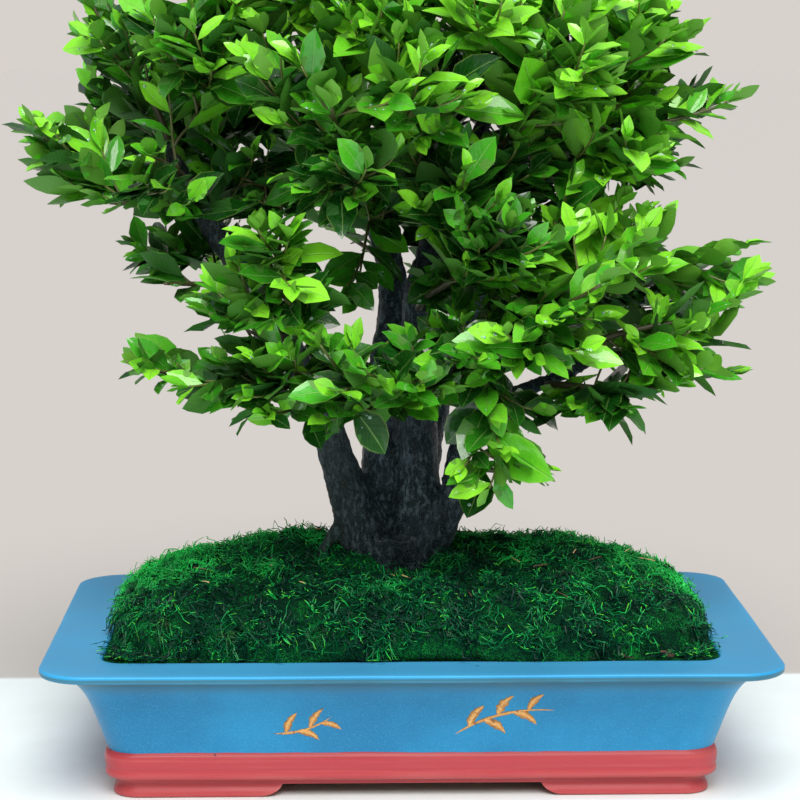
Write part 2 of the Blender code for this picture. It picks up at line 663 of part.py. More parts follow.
class Spray:
    """One leafy spray: a stem from its stub to near its outermost leaf, side shoots, and leaves."""

    def __init__(self, name, room):
        self.name = name
        self.rng = random.Random(name)
        self.room = room
        middle, self.heading, length = spray_start(name)
        self.start = middle + self.heading * (length + SEAT_GAP)
        self.tip = Vector(SPRAYS[name][2])
        self.outward = (self.tip - CROWN_MIDDLE).normalized()
        thinning = (STUB_RADIUS - STEM_TIP_RADIUS) / STEM_SEGMENTS
        self.radii = [STUB_RADIUS - thinning * k for k in range(STEM_SEGMENTS + 1)]

    def stem_path(self, wander):
        """From the stub, bending towards the tip, and stopping short of it by most of a leaf."""
        end = self.tip.lerp(self.start, STEM_SHORT_OF_TIP / (self.tip - self.start).length)
        reach = (end - self.start).length
        start_pull = self.heading * reach
        end_pull = (end - self.start).normalized() * reach + 0.25 * reach * UP
        places = [self.start, self.start + self.heading * STEM_STRAIGHT]
        for k in range(1, STEM_SEGMENTS):
            t = k / (STEM_SEGMENTS - 1)
            place = (2 * t**3 - 3 * t**2 + 1) * places[1] + (t**3 - 2 * t**2 + t) * start_pull
            place += (3 * t**2 - 2 * t**3) * end + (t**3 - t**2) * end_pull
            if t < 1:
                place += wander * random_direction(self.rng)
            places.append(place)
        return places

    def lay_stem(self):
        """Finds a way for the stem that is clear of the trunk and of the stems before it."""
        fat = [radius + LEAF_CLEARANCE for radius in self.radii]
        for attempt in range(STEM_TRIES):
            self.stem = self.stem_path(STEM_WANDER * (1 + attempt / 6))
            beyond_stub = [self.stem[0] + self.heading * LEAF_CLEARANCE * 2] + self.stem[1:]
            if self.room.is_free(*tube_points(beyond_stub, fat, 6)):
                break
        self.room.take(self.name, *tube_points(self.stem, self.radii, STEM_SIDES))

    def stem_at(self, share):
        """The place on the stem at that share of its length, and its direction there."""
        lengths = [(end - start).length for start, end in zip(self.stem, self.stem[1:])]
        left = share * sum(lengths)
        for start, end, length in zip(self.stem, self.stem[1:], lengths):
            if left <= length:
                break
            left -= length
        return start.lerp(end, left / length), (end - start).normalized()

    def add_piece(self, obj):
        self.pieces.append(obj)
        self.keys.append((self.name, len(self.pieces)))

    def grow_shoot(self, share, turn):
        """A side shoot, and then leaves on alternate sides of it and one at its end."""
        base, along = self.stem_at(share)
        aside = along.cross(UP).normalized() * turn
        for _ in range(PLACING_TRIES):
            rise = self.rng.uniform(*SHOOT_RISE)
            direction = 0.55 * along + 0.75 * aside + rise * UP + 0.30 * self.outward
            direction = (direction + 0.25 * random_direction(self.rng)).normalized()
            length = self.rng.uniform(*SHOOT_LENGTHS)
            places = [base, base + length * direction]
            radii = [SHOOT_RADIUS, SHOOT_RADIUS * 0.7]
            fat = tube_points(places, [radius + LEAF_CLEARANCE for radius in radii], 5)
            if self.room.is_free(*fat, besides=(self.name,)):
                break
        else:
            return
        bm = bmesh.new()
        tube(bm, places, radii, SHOOT_SIDES)
        self.add_piece(object_from(bm, "shoot", "twig"))
        self.grow_leaf(places[0].lerp(places[1], 0.96), direction, 0.0)
        self.grow_leaf(places[0].lerp(places[1], 0.62), direction, turn)
        self.grow_leaf(places[0].lerp(places[1], 0.34), direction, -turn)

    def grow_leaf(self, base, along, turn):
        """A leaf on one side of a twig, or on past its end where turn is 0, if it finds room."""
        along = along.normalized()
        aside = along.cross(UP).normalized()
        for attempt in range(PLACING_TRIES):
            jitter = (0.15 + 0.03 * attempt) * random_direction(self.rng)
            spread = turn * math.sin(LEAF_ANGLE) * aside
            direction = (math.cos(LEAF_ANGLE * turn) * along + spread + jitter).normalized()
            facing = UP + self.outward + 0.5 * random_direction(self.rng)
            length = self.rng.uniform(*LEAF_LENGTHS) * (1 - 0.02 * attempt)
            width = length * LEAF_WIDTH_SHARE
            fat = blade(base + direction * 0.004, direction, facing, length - 0.004, width, LEAF_CLEARANCE)
            if self.room.is_free(*fat, besides=(self.name,)):
                break
        else:
            return
        points, faces = blade(base, direction, facing, length, width)
        bm = bmesh.new()
        verts = [bm.verts.new(point) for point in points]
        for face in faces:
            bm.faces.new([verts[i] for i in face])
        self.add_piece(object_from(bm, "leaf", "leaf"))
        self.room.take(self.keys[-1], *fat)

    def grow(self, solver):
        """Grows the shoots and leaves on the stem, and joins them all into one body."""
        self.pieces = []
        self.keys = []
        bm = bmesh.new()
        tube(bm, self.stem, self.radii, STEM_SIDES, across_stub(self.heading))
        body = object_from(bm, self.name, "twig", "leaf")
        for k, share in enumerate(SHOOT_SHARES):
            self.grow_shoot(share, 1 if k % 2 else -1)
        end, along = self.stem_at(0.99)
        self.grow_leaf(end, along, 0.0)
        for share, turn in STEM_LEAVES:
            place, along = self.stem_at(share)
            self.grow_leaf(place, along, turn)
        combine(body, self.pieces, "UNION", solver)
        for key in self.keys:
            self.room.taken.pop(key, None)
        return body


def is_one_clean_body(obj):
    """Whether the surface is closed, in one piece, with no two places as good as touching."""
    bm = bmesh.new()
    bm.from_mesh(obj.data)
    bmesh.ops.remove_doubles(bm, verts=bm.verts, dist=LEAST_GAP)
    closed = all(len(edge.link_faces) == 2 for edge in bm.edges)
    reached = set()
    waiting = [next(iter(bm.verts))]
    while waiting:
        vert = waiting.pop()
        if vert not in reached:
            reached.add(vert)
            waiting += [edge.other_vert(vert) for edge in vert.link_edges]
    whole = len(reached) == len(bm.verts)
    bm.free()
    return closed and whole


def make_sprays(trunk):
    """Lays every stem first, then grows each spray in turn, clear of the trunk and the others."""
    room = Room()
    room.take_object("trunk", trunk)
    sprays = [Spray(name, room) for name in SPRAYS]
    for spray in sprays:
        spray.lay_stem()
    for spray in sprays:
        body = spray.grow("EXACT")
        for solver in ("MANIFOLD", "EXACT") * 4:
            if is_one_clean_body(body):
                break
            bpy.data.objects.remove(body)
            body = spray.grow(solver)
        body.name = spray.name
        room.take_object(spray.name, body)


def main():
    clear_scene()
    make_pot()
    make_screen("drain_screen_left", -1)
    make_screen("drain_screen_right", 1)
    make_soil()
    trunk = make_trunk()
    make_moss(root_clearance())
    make_sprays(trunk)


main()
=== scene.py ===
import math
import random

import bmesh
import bpy
import numpy as np
from mathutils import Matrix, Vector, noise
from mathutils.bvhtree import BVHTree


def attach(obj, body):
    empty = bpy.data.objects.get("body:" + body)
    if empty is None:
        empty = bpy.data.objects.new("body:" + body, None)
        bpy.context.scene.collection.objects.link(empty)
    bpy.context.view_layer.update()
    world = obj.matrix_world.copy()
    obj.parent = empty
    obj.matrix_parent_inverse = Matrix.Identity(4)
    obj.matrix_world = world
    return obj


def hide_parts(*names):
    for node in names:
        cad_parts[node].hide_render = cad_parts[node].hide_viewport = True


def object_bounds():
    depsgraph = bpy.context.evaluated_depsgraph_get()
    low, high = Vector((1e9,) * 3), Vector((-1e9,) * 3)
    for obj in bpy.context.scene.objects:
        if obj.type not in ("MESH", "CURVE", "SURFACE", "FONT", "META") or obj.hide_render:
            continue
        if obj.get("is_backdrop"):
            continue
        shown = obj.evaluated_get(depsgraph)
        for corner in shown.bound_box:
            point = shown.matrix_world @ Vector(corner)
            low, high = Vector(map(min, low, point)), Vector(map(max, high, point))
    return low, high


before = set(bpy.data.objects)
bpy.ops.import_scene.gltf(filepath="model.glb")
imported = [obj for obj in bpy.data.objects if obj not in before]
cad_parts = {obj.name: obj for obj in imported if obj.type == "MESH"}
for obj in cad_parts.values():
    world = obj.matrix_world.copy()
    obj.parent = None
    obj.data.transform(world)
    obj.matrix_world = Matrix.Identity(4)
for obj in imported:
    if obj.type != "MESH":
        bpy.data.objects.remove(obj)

cad_low, cad_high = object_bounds()

# The pot
# A stoneware tray pressed in a mould, 42 by 28 cm at the rim, with a flat lip, a moulded band and four
# bracket feet in one piece. Blue glaze covers it down to the band, red glaze covers the band and feet.
RIM_WIDTH = 0.420
RIM_DEPTH = 0.280
POT_HEIGHT = 0.080
LIP_WIDTH = 0.034
LIP_THICKNESS = 0.0045
LIP_ROUNDING = 0.0015
LIP_LEAN = 0.015
RIM_CORNER = 0.028
WALL_INSET = 0.0355
WALL_CORNER = 0.019
CAVITY_CORNER = 0.014
BAND_TOP = 0.0262
BAND_GROOVE = 0.0003
FLOOR_TOP = 0.020
FOOT_GAP_HEIGHT = 0.0072
FRONT_GAP_HALF = 0.090
SIDE_GAP_HALF = 0.049
GAP_BRACKET = 0.016
DRAIN_X = 0.085
DRAIN_RADIUS = 0.011
BLUE_GLAZE = (0.0165, 0.286, 0.560)
PALE_BLUE_GLAZE = (0.058, 0.385, 0.675)
THICK_BLUE_GLAZE = (0.009, 0.204, 0.430)
LIP_BLUE_GLAZE = (0.014, 0.340, 0.720)
BLUE_EDGE_GLAZE_AND_HIGHLIGHT = (0.070, 0.440, 0.800)
BLUE_PAINTED_SHADE_UNDER_LIP = (0.037, 0.130, 0.168)
DUSTY_BLUE_GLAZE = (0.130, 0.345, 0.500)
RED_GLAZE = (0.465, 0.047, 0.060)
PALE_RED_GLAZE = (0.550, 0.092, 0.094)
DEEP_RED_GLAZE = (0.300, 0.040, 0.045)
RED_EDGE_GLAZE_AND_HIGHLIGHT = (0.620, 0.170, 0.150)
GLAZE_PIT = (0.030, 0.045, 0.060)
FIRED_CLAY = (0.330, 0.155, 0.085)


def pot_ring(inset, height, corner):
    """Points round the pot at one height, anticlockwise from its front right corner."""
    half_x = RIM_WIDTH / 2 - inset
    half_y = RIM_DEPTH / 2 - inset
    sides = ((1, -1, -90, 27), (1, 1, 0, 43), (-1, 1, 90, 27), (-1, -1, 180, 43))
    arcs = []
    for sign_x, sign_y, first_angle, _ in sides:
        middle = Vector((sign_x * (half_x - corner), sign_y * (half_y - corner), height))
        turns = [math.radians(first_angle + 90 * k / 14) for k in range(15)]
        arcs.append([middle + corner * Vector((math.cos(a), math.sin(a), 0.0)) for a in turns])
    points = []
    for i, (_, _, _, between) in enumerate(sides):
        points += arcs[i]
        start, end = arcs[i][-1], arcs[(i + 1) % 4][0]
        points += [start.lerp(end, k / (between + 1)) for k in range(1, between + 1)]
    return points


def wall_inset(share):
    """How far the outside wall lies in from the rim, from the band (0) to the underside of the lip (1)."""
    turn = 1.0 - math.sqrt(1.0 - min(share, 1.0) ** 6)
    return WALL_INSET - LIP_LEAN * share - (WALL_INSET - LIP_LEAN - LIP_ROUNDING) * turn


def wall_height(share):
    return BAND_TOP + BAND_GROOVE + (POT_HEIGHT - LIP_THICKNESS - BAND_TOP - BAND_GROOVE) * share


# The seed makes the sway the same in each run.
noise.seed_set(5)


def clay_sway(point):
    """How far the fired clay has moved at a point, as no pot comes out of the kiln quite true."""
    return noise.noise_vector(point / 0.075) * 0.00035 + noise.noise_vector(point / 0.022) * 0.00009


foot_and_band = [
    (0.0525, 0.0105, 0.008), (0.0525, 0.0010, 0.008), (0.0522, 0.0003, 0.0085), (0.0515, 0.0, 0.009),
    (0.0395, 0.0, 0.0145), (0.0388, 0.0003, 0.015), (0.0385, 0.0010, 0.015), (0.0386, 0.0022, 0.015),
    (0.0391, 0.0038, 0.0147), (0.0399, 0.0053, 0.0143), (0.0404, 0.0068, 0.014), (0.0405, 0.0082, 0.014),
    (0.0402, 0.0093, 0.014), (0.0390, 0.0100, 0.0145), (0.0368, 0.0105, 0.0152), (0.0352, 0.0113, 0.016),
    (0.0344, 0.0124, 0.0165), (0.0341, 0.0137, 0.017), (0.0342, 0.0148, 0.017), (0.0345, 0.0157, 0.017),
    (0.0346, 0.0164, 0.017), (0.0344, 0.0171, 0.017), (0.0341, 0.0180, 0.0175), (0.0339, 0.0192, 0.018),
    (0.0338, 0.0207, 0.018), (0.0338, 0.0222, 0.018), (0.0340, 0.0236, 0.018), (0.0343, 0.0248, 0.018),
    (0.0348, 0.0257, 0.018), (0.0354, 0.0262, 0.0185),
]  # fmt: skip
wall = []
for k in range(27):
    share = 1.0 - (1.0 - k / 27) ** 1.7
    turn = 1.0 - math.sqrt(1.0 - share**6)
    wall.append((wall_inset(share), wall_height(share), WALL_CORNER + (RIM_CORNER - WALL_CORNER) * turn))
lip = [
    (0.0009, 0.0756, 0.0275), (0.0003, 0.0760, 0.028), (0.0, 0.0766, 0.028), (0.0, 0.0775, 0.028),
    (0.0, 0.0789, 0.028), (0.0001, 0.0793, 0.028), (0.0004, 0.0797, 0.0278), (0.0008, 0.0799, 0.0275),
    (0.0014, 0.0800, 0.0270), (0.0060, 0.08005, 0.0250), (0.0110, 0.0800, 0.0230), (0.0160, 0.0799, 0.0210),
    (0.0210, 0.0798, 0.0190), (0.0260, 0.0798, 0.0172), (0.0300, 0.0799, 0.0160), (0.0324, 0.0799, 0.0150),
    (0.0333, 0.0796, 0.0145), (0.0338, 0.0790, 0.0142), (0.0340, 0.0782, 0.0140),
]  # fmt: skip
inside = [(0.0340, 0.0710, 0.014), (0.0390, 0.0520, 0.014), (0.0450, 0.0270, 0.014), (0.0480, 0.0215, 0.012),
          (0.0500, 0.0200, 0.010)]  # fmt: skip


def skin_between(bm, rings, ring_shaped=False):
    """Joins rings of equally many points with four-sided faces. It closes both ends, or joins the last ring
    to the first one."""
    loops = [[bm.verts.new(point) for point in ring] for ring in rings]
    for lower, upper in zip(loops, loops[1:] + loops[:ring_shaped]):
        for k in range(len(lower)):
            after = (k + 1) % len(lower)
            bm.faces.new((lower[k], lower[after], upper[after], upper[k]))
    if not ring_shaped:
        bm.faces.new(reversed(loops[0]))
        bm.faces.new(loops[-1])
    bmesh.ops.recalc_face_normals(bm, faces=bm.faces)


def piece_from(bm, name):
    """Turns the bmesh into an object in the scene."""
    mesh = bpy.data.meshes.new(name)
    bm.to_mesh(mesh)
    bm.free()
    piece = bpy.data.objects.new(name, mesh)
    bpy.context.scene.collection.objects.link(piece)
    return piece


def settle(piece):
    """Applies the piece's modifiers to its mesh."""
    graph = bpy.context.evaluated_depsgraph_get()
    graph.update()
    mesh = bpy.data.meshes.new_from_object(piece.evaluated_get(graph), depsgraph=graph)
    piece.modifiers.clear()
    piece.data = mesh


def cut_from(piece, cutters):
    """Cuts the shapes out of the piece, as a fettling tool does before the pot is fired."""
    for cutter in cutters:
        cut = piece.modifiers.new("cut", "BOOLEAN")
        cut.operation = "DIFFERENCE"
        cut.solver = "EXACT"
        cut.object = cutter
    settle(piece)
    for cutter in cutters:
        bpy.data.objects.remove(cutter)


def foot_gap(half_gap, along_x):
    """A bar that clears the gap between two feet and leaves a quarter-round bracket at each end."""
    turns = [math.radians(90 * k / 12) for k in range(13)]
    bracket = [
        (half_gap - GAP_BRACKET * math.sin(a), FOOT_GAP_HEIGHT * (1.0 - math.cos(a) ** 1.3)) for a in turns
    ]
    outline = [(half_gap + 0.002, -0.005)] + bracket
    outline += [(-out, height) for out, height in reversed(outline)]
    reach = RIM_WIDTH / 2
    bm = bmesh.new()
    rings = []
    for end in (-reach, reach):
        ring = [(end, out, height) if along_x else (out, end, height) for out, height in outline]
        rings.append([Vector(point) for point in ring])
    skin_between(bm, rings)
    return piece_from(bm, "gap_cutter")


def drain_cutter(sign):
    bm = bmesh.new()
    rings = []
    for height, radius in ((0.006, 0.0125), (0.0112, 0.0113), (0.0119, DRAIN_RADIUS), (0.024, DRAIN_RADIUS)):
        turns = [2 * math.pi * k / 40 for k in range(40)]
        middle = Vector((sign * DRAIN_X, 0.0, height))
        rings.append([middle + radius * Vector((math.cos(a), math.sin(a), 0.0)) for a in turns])
    skin_between(bm, rings)
    return piece_from(bm, "drain_cutter")


bm = bmesh.new()
skin_between(bm, [pot_ring(*row) for row in foot_and_band + wall + lip + inside])
pot = piece_from(bm, "glazed_pot")
cut_from(pot, [foot_gap(FRONT_GAP_HALF, False)])
cut_from(pot, [foot_gap(SIDE_GAP_HALF, True)])
cut_from(pot, [drain_cutter(-1), drain_cutter(1)])
for vert in pot.data.vertices:
    rise = min(1.0, max(0.0, (vert.co.z - 0.002) / 0.01))
    vert.co += clay_sway(vert.co) * rise

bm = bmesh.new()
bm.from_mesh(pot.data)
convex_layer = bm.verts.layers.float.new("convex_edge_bend")
for vert in bm.verts:
    bends = [edge.calc_face_angle(0.0) for edge in vert.link_edges if edge.is_convex]
    vert[convex_layer] = min(1.0, max(bends, default=0.0) / math.radians(22))
bm.to_mesh(pot.data)
bm.free()
pot.data.shade_smooth()
pot.data.set_sharp_from_angle(angle=math.radians(38))


def new_finish(name):
    """A procedural finish: the material, its shader, and the place on the piece that its steps read."""
    made = bpy.data.materials.new(name)
    made.use_nodes = True
    place = made.node_tree.nodes.new("ShaderNodeTexCoord").outputs["Object"]
    return made, made.node_tree.nodes["Principled BSDF"], place


def feed(node, inputs):
    """Gives a node its inputs. Each is another node's output, or a plain value on the node's own socket."""
    for key, value in inputs.items():
        if isinstance(value, bpy.types.NodeSocket):
            node.id_data.links.new(value, node.inputs[key])
        else:
            node.inputs[key].default_value = value


def step(beside, kind, inputs, **settings):
    """One node of a finish, put beside a socket of the same finish."""
    made = beside.id_data.nodes.new("ShaderNode" + kind)
    for key, value in settings.items():
        setattr(made, key, value)
    feed(made, inputs)
    return made


def first_socket(values):
    return next(value for value in values if isinstance(value, bpy.types.NodeSocket))


def calculate(operation, *values):
    inputs = dict(enumerate([*values, 0.0, 0.0][:3]))
    return step(first_socket(values), "Math", inputs, operation=operation).outputs[0]


def times(first, second):
    return calculate("MULTIPLY", first, second)


def plus(first, second):
    return calculate("ADD", first, second)


def minus(first, second):
    return calculate("SUBTRACT", first, second)


def times_plus(first, second, third):
    return calculate("MULTIPLY_ADD", first, second, third)


def parts_of(vector):
    """The three parts of a place, a direction or a colour."""
    return step(vector, "SeparateXYZ", {0: vector}).outputs


def stretched(place, **settings):
    """The place, turned and stretched, so that a grain laid on it runs one way."""
    inputs = {key.capitalize(): value for key, value in settings.items()}
    return step(place, "Mapping", {"Vector": place, **inputs}).outputs[0]


def blend(amount, first, second):
    """The second colour over the first, by that amount."""
    colours = [c if isinstance(c, bpy.types.NodeSocket) else (*c, 1.0) for c in (first, second)]
    inputs = {0: amount, 6: colours[0], 7: colours[1]}
    return step(first_socket((amount, *colours)), "Mix", inputs, data_type="RGBA").outputs[2]


def between(value, low, high, to_low=0.0, to_high=1.0):
    """Maps the value smoothly from one range to another."""
    inputs = {"Value": value, "From Min": low, "From Max": high, "To Min": to_low, "To Max": to_high}
    return step(value, "MapRange", inputs, interpolation_type="SMOOTHSTEP").outputs["Result"]


def grain(place, scale, detail=3.0, roughness=0.5, distortion=0.0):
    """Soft irregular patches, of a size set by the scale."""
    inputs = {"Vector": place, "Scale": scale, "Detail": detail, "Roughness": roughness}
    return step(place, "TexNoise", inputs | {"Distortion": distortion}).outputs[0]


def raise_surface(shader, height, strength, distance):
    inputs = {"Height": height, "Strength": strength, "Distance": distance}
    feed(shader, {"Normal": step(height, "Bump", inputs).outputs[0]})


glaze, shader, place = new_finish("two_colour_glaze")
parts = parts_of(place)
facing = parts_of(step(place, "NewGeometry", {}).outputs["True Normal"])
drift = times_plus(grain(place, 22.0, 2.0), 0.0026, -0.0013)
drift = plus(drift, times(grain(place, 130.0, 2.0), 0.0004))
glaze_line = between(plus(parts[2], drift), 0.02672, 0.02705)
cloud = grain(place, 16.0, 4.0)
fine = grain(place, 1300.0, 2.0, 0.7)
blue = blend(between(cloud, 0.35, 0.70), THICK_BLUE_GLAZE, BLUE_GLAZE)
blue = blend(between(fine, 0.50, 0.72, 0.0, 0.55), blue, PALE_BLUE_GLAZE)
blue = blend(between(fine, 0.50, 0.30, 0.0, 0.45), blue, THICK_BLUE_GLAZE)
lip_height = between(parts[2], 0.0755, 0.0795)
blue = blend(times(lip_height, 0.55), blue, LIP_BLUE_GLAZE)
# Just under the lip the blue turns darker and greyer: painted shade cast by the lip.
shade_under_lip = times(between(parts[2], 0.0620, 0.0735), between(parts[2], 0.0790, 0.0778))
blue = blend(times(shade_under_lip, 0.90), blue, BLUE_PAINTED_SHADE_UNDER_LIP)
blue = blend(between(facing[2], 0.80, 0.97, 0.0, 0.34), blue, DUSTY_BLUE_GLAZE)
streaks = grain(stretched(place, scale=(9.0, 9.0, 420.0)), 1.0, 3.0)
red = blend(between(streaks, 0.48, 0.72, 0.0, 0.55), RED_GLAZE, PALE_RED_GLAZE)
red = blend(between(fine, 0.52, 0.75, 0.0, 0.40), red, PALE_RED_GLAZE)
# The red darkens towards the bottom of the feet.
red = blend(between(parts[2], 0.014, 0.004, 0.0, 0.30), red, DEEP_RED_GLAZE)
colour = blend(glaze_line, red, blue)
convex_share = step(place, "Attribute", {}, attribute_name="convex_edge_bend").outputs["Fac"]
# Convex edges turn paler: partly the glaze breaking thin there, partly a painted highlight along the lip's
# edge.
worn_and_highlit = times(convex_share, between(cloud, 0.30, 0.75, 0.05, 0.35))
colour = blend(worn_and_highlit, colour, blend(glaze_line, RED_EDGE_GLAZE_AND_HIGHLIGHT, BLUE_EDGE_GLAZE_AND_HIGHLIGHT))
pits = step(place, "TexVoronoi", {"Vector": place, "Scale": 62.0}).outputs["Distance"]
pit_size = between(grain(place, 90.0, 1.0), 0.55, 0.75, 0.0, 0.085)
pit = between(minus(pits, pit_size), 0.02, -0.01)
colour = blend(times(pit, 0.75), colour, GLAZE_PIT)
bare = between(facing[2], -0.85, -0.97)
colour = blend(bare, colour, FIRED_CLAY)
gloss = plus(between(cloud, 0.25, 0.80, 0.36, 0.50), times(bare, 0.45))
feed(shader, {"Base Color": colour, "Roughness": gloss, "Specular IOR Level": 0.32})
feed(shader, {"Coat Weight": 0.06, "Coat Roughness": 0.12})
relief = times_plus(fine, 0.22, times(cloud, 1.0))
relief = minus(relief, pit)
relief = plus(relief, times(glaze_line, 0.8))
raise_surface(shader, relief, 0.55, 0.00030)

pot.data.materials.clear()
pot.data.materials.append(glaze)
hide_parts("pot")
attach(pot, "root")

# The painted strokes on the pot's front
# Thin gold enamel, brushed on after the glaze firing as two plain leafy sprigs, and half worn away.
# Each stroke is a film that lies on the wall, thickest along its middle.
GOLD_ENAMEL = (0.780, 0.350, 0.085)
PALE_GOLD = (0.880, 0.550, 0.220)
GOLD_CHIP = (0.300, 0.100, 0.050)
STROKE_THICKNESS = 0.00022
sprig_strokes = [  # start (x, z), end (x, z), bow to the left, widest half-width
    ((-0.0790, 0.0390), (-0.0460, 0.0495), -0.0032, 0.00085),
    ((-0.0718, 0.0391), (-0.0655, 0.0520), 0.0014, 0.00205),
    ((-0.0649, 0.0403), (-0.0530, 0.0350), 0.0016, 0.00200),
    ((-0.0583, 0.0424), (-0.0505, 0.0550), 0.0014, 0.00190),
    ((-0.0520, 0.0454), (-0.0405, 0.0415), 0.0014, 0.00170),
    ((0.0240, 0.0380), (0.0800, 0.0530), 0.0052, 0.00095),
    ((0.0317, 0.0428), (0.0400, 0.0560), 0.0016, 0.00235),
    ((0.0397, 0.0467), (0.0525, 0.0385), 0.0018, 0.00225),
    ((0.0479, 0.0497), (0.0565, 0.0625), 0.0018, 0.00250),
    ((0.0563, 0.0518), (0.0700, 0.0440), 0.0020, 0.00215),
    ((0.0650, 0.0530), (0.0735, 0.0635), 0.0014, 0.00200),
]


def on_the_wall(x, z, proud):
    """The point of the front wall at that place, raised from it."""
    share = (z - BAND_TOP - BAND_GROOVE) / (POT_HEIGHT - LIP_THICKNESS - BAND_TOP - BAND_GROOVE)
    flat = Vector((x, -(RIM_DEPTH / 2 - wall_inset(share)), z))
    return flat + clay_sway(flat) + Vector((0.0, -proud, 0.0))


bm = bmesh.new()
for start, end, bow, half_width in sprig_strokes:
    start, end = Vector(start), Vector(end)
    across = Vector((start.y - end.y, end.x - start.x)).normalized()
    rows = []
    for k in range(19):
        t = k / 18
        middle = start.lerp(end, t) + across * (bow * 4 * t * (1 - t))
        wear = 1.0 + 0.45 * noise.noise(Vector((middle.x, middle.y, half_width)) / 0.0016)
        half = half_width * (0.06 + math.sin(math.pi * min(1.0, t**0.8)) ** 0.8) * wear
        edges = (middle + across * half, 0.00002), (middle - across * half, 0.00002)
        ridge, root = (middle, STROKE_THICKNESS), (middle, -0.00025)
        rows.append([on_the_wall(*flat, proud) for flat, proud in (edges[0], ridge, edges[1], root)])
    skin_between(bm, rows)
sprigs = piece_from(bm, "gold_brush_strokes")
sprigs.data.shade_smooth()
enamel, shader, place = new_finish("gold_enamel")
flakes = grain(place, 900.0, 3.0, 0.7)
colour = blend(between(flakes, 0.40, 0.70), GOLD_ENAMEL, PALE_GOLD)
chips = between(grain(place, 420.0, 2.0), 0.60, 0.68)
colour = blend(times(chips, 0.8), colour, GOLD_CHIP)
feed(shader, {"Base Color": colour, "Metallic": 0.25, "Roughness": 0.42})
raise_surface(shader, flakes, 0.5, 0.0002)
sprigs.data.materials.append(enamel)
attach(sprigs, "root")

# The drain screens
# Squares of moulded black plastic mesh, 30 mm wide, laid over the two holes in the pot's floor before
# the soil goes in. Each bar has a slightly rounded top.
SCREEN_SIDE = 0.030
SCREEN_THICKNESS = 0.0012
SCREEN_BAR = 0.0007
SCREEN_HOLES = 12
BLACK_PLASTIC = (0.018, 0.019, 0.020)
DUST = (0.075, 0.058, 0.040)

plastic, shader, place = new_finish("black_plastic_mesh")
scuffs = grain(place, 700.0, 4.0)
dust = between(grain(place, 160.0, 3.0), 0.45, 0.75, 0.0, 0.5)
gloss = between(scuffs, 0.3, 0.7, 0.40, 0.62)
feed(shader, {"Base Color": blend(dust, BLACK_PLASTIC, DUST), "Roughness": gloss})
raise_surface(shader, scuffs, 0.4, 0.0001)

pitch = (SCREEN_SIDE - SCREEN_BAR) / SCREEN_HOLES
lines = [0.0]
for k in range(SCREEN_HOLES):
    lines += [k * pitch + SCREEN_BAR, (k + 1) * pitch]
lines.append(SCREEN_SIDE)
for side, sign in (("left", -1), ("right", 1)):
    low = Vector((sign * DRAIN_X - SCREEN_SIDE / 2, -SCREEN_SIDE / 2, FLOOR_TOP + 0.0003))
    bm = bmesh.new()
    grid = [[bm.verts.new(low + Vector((x, y, 0.0))) for y in lines] for x in lines]
    for i in range(len(lines) - 1):
        for j in range(len(lines) - 1):
            if i % 2 == 0 or j % 2 == 0:
                bm.faces.new((grid[i][j], grid[i + 1][j], grid[i + 1][j + 1], grid[i][j + 1]))
    raised = bmesh.ops.extrude_face_region(bm, geom=bm.faces[:], use_keep_orig=True)["geom"]
    corners = [part for part in raised if isinstance(part, bmesh.types.BMVert)]
    bmesh.ops.translate(bm, vec=Vector((0.0, 0.0, SCREEN_THICKNESS)), verts=corners)
    bmesh.ops.recalc_face_normals(bm, faces=bm.faces)
    screen = piece_from(bm, "mesh_screen_" + side)
    rounded = screen.modifiers.new("rounded", "BEVEL")
    rounded.width = 0.00012
    rounded.segments = 1
    settle(screen)
    screen.data.materials.append(plastic)
    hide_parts("drain_screen_" + side)
    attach(screen, "root")

# The soil
# Damp granular bonsai soil, packed round the root ball up to just under the rim. The moss hides all of it
# but what shows through the drain screens.
DARK_GRAIN = (0.028, 0.016, 0.010)
LIGHT_GRAIN = (0.115, 0.066, 0.036)

earth, shader, place = new_finish("damp_granular_soil")
grains = step(place, "TexVoronoi", {"Vector": place, "Scale": 420.0, "Randomness": 1.0})
shade = between(parts_of(grains.outputs["Color"])[0], 0.1, 0.9)
colour = blend(shade, DARK_GRAIN, LIGHT_GRAIN)
feed(shader, {"Base Color": colour, "Roughness": between(shade, 0.0, 1.0, 0.55, 0.90)})
raise_surface(shader, minus(1.0, grains.outputs["Distance"]), 0.9, 0.0012)
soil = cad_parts["soil"]
soil.data.materials.clear()
soil.data.materials.append(earth)

# The trunk
# Old red sandalwood, wet and almost black, with its root ball, five limbs and a thin side root grown as one
# piece of wood. It is the model's own trunk with its joints rounded and the ridged bark raised on it.
BARK_VOXEL = 0.0017
BARK_DARK = (0.0016, 0.0044, 0.0068)
BARK_MIDDLE = (0.0210, 0.0380, 0.0480)
BARK_RIDGE_AND_GLINT = (0.160, 0.222, 0.265)
DRIER_BARK = (0.060, 0.062, 0.044)
ALGAE = (0.030, 0.085, 0.050)

trunk = bpy.data.objects.new("wet_bark_trunk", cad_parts["trunk"].data.copy())
bpy.context.scene.collection.objects.link(trunk)
close = trunk.modifiers.new("close", "REMESH")
close.mode = "VOXEL"
close.voxel_size = BARK_VOXEL
soften = trunk.modifiers.new("soften", "SMOOTH")
soften.iterations = 9
soften.factor = 0.5
settle(trunk)
normals = [vert.normal.copy() for vert in trunk.data.vertices]
for vert, normal in zip(trunk.data.vertices, normals):
    p = vert.co
    twisted = Vector((p.x + 0.35 * p.z, p.y - 0.20 * p.z, p.z * 0.22))
    ridge = 1.0 - abs(noise.noise(twisted / 0.0042)) * 2.0
    crack = noise.noise(Vector((p.x / 0.016, p.y / 0.016, p.z / 0.0035)))
    knob = noise.noise(p / 0.014)
    vert.co = p + normal * (0.00085 * ridge + 0.00050 * crack + 0.00100 * knob)
trunk.data.shade_smooth()

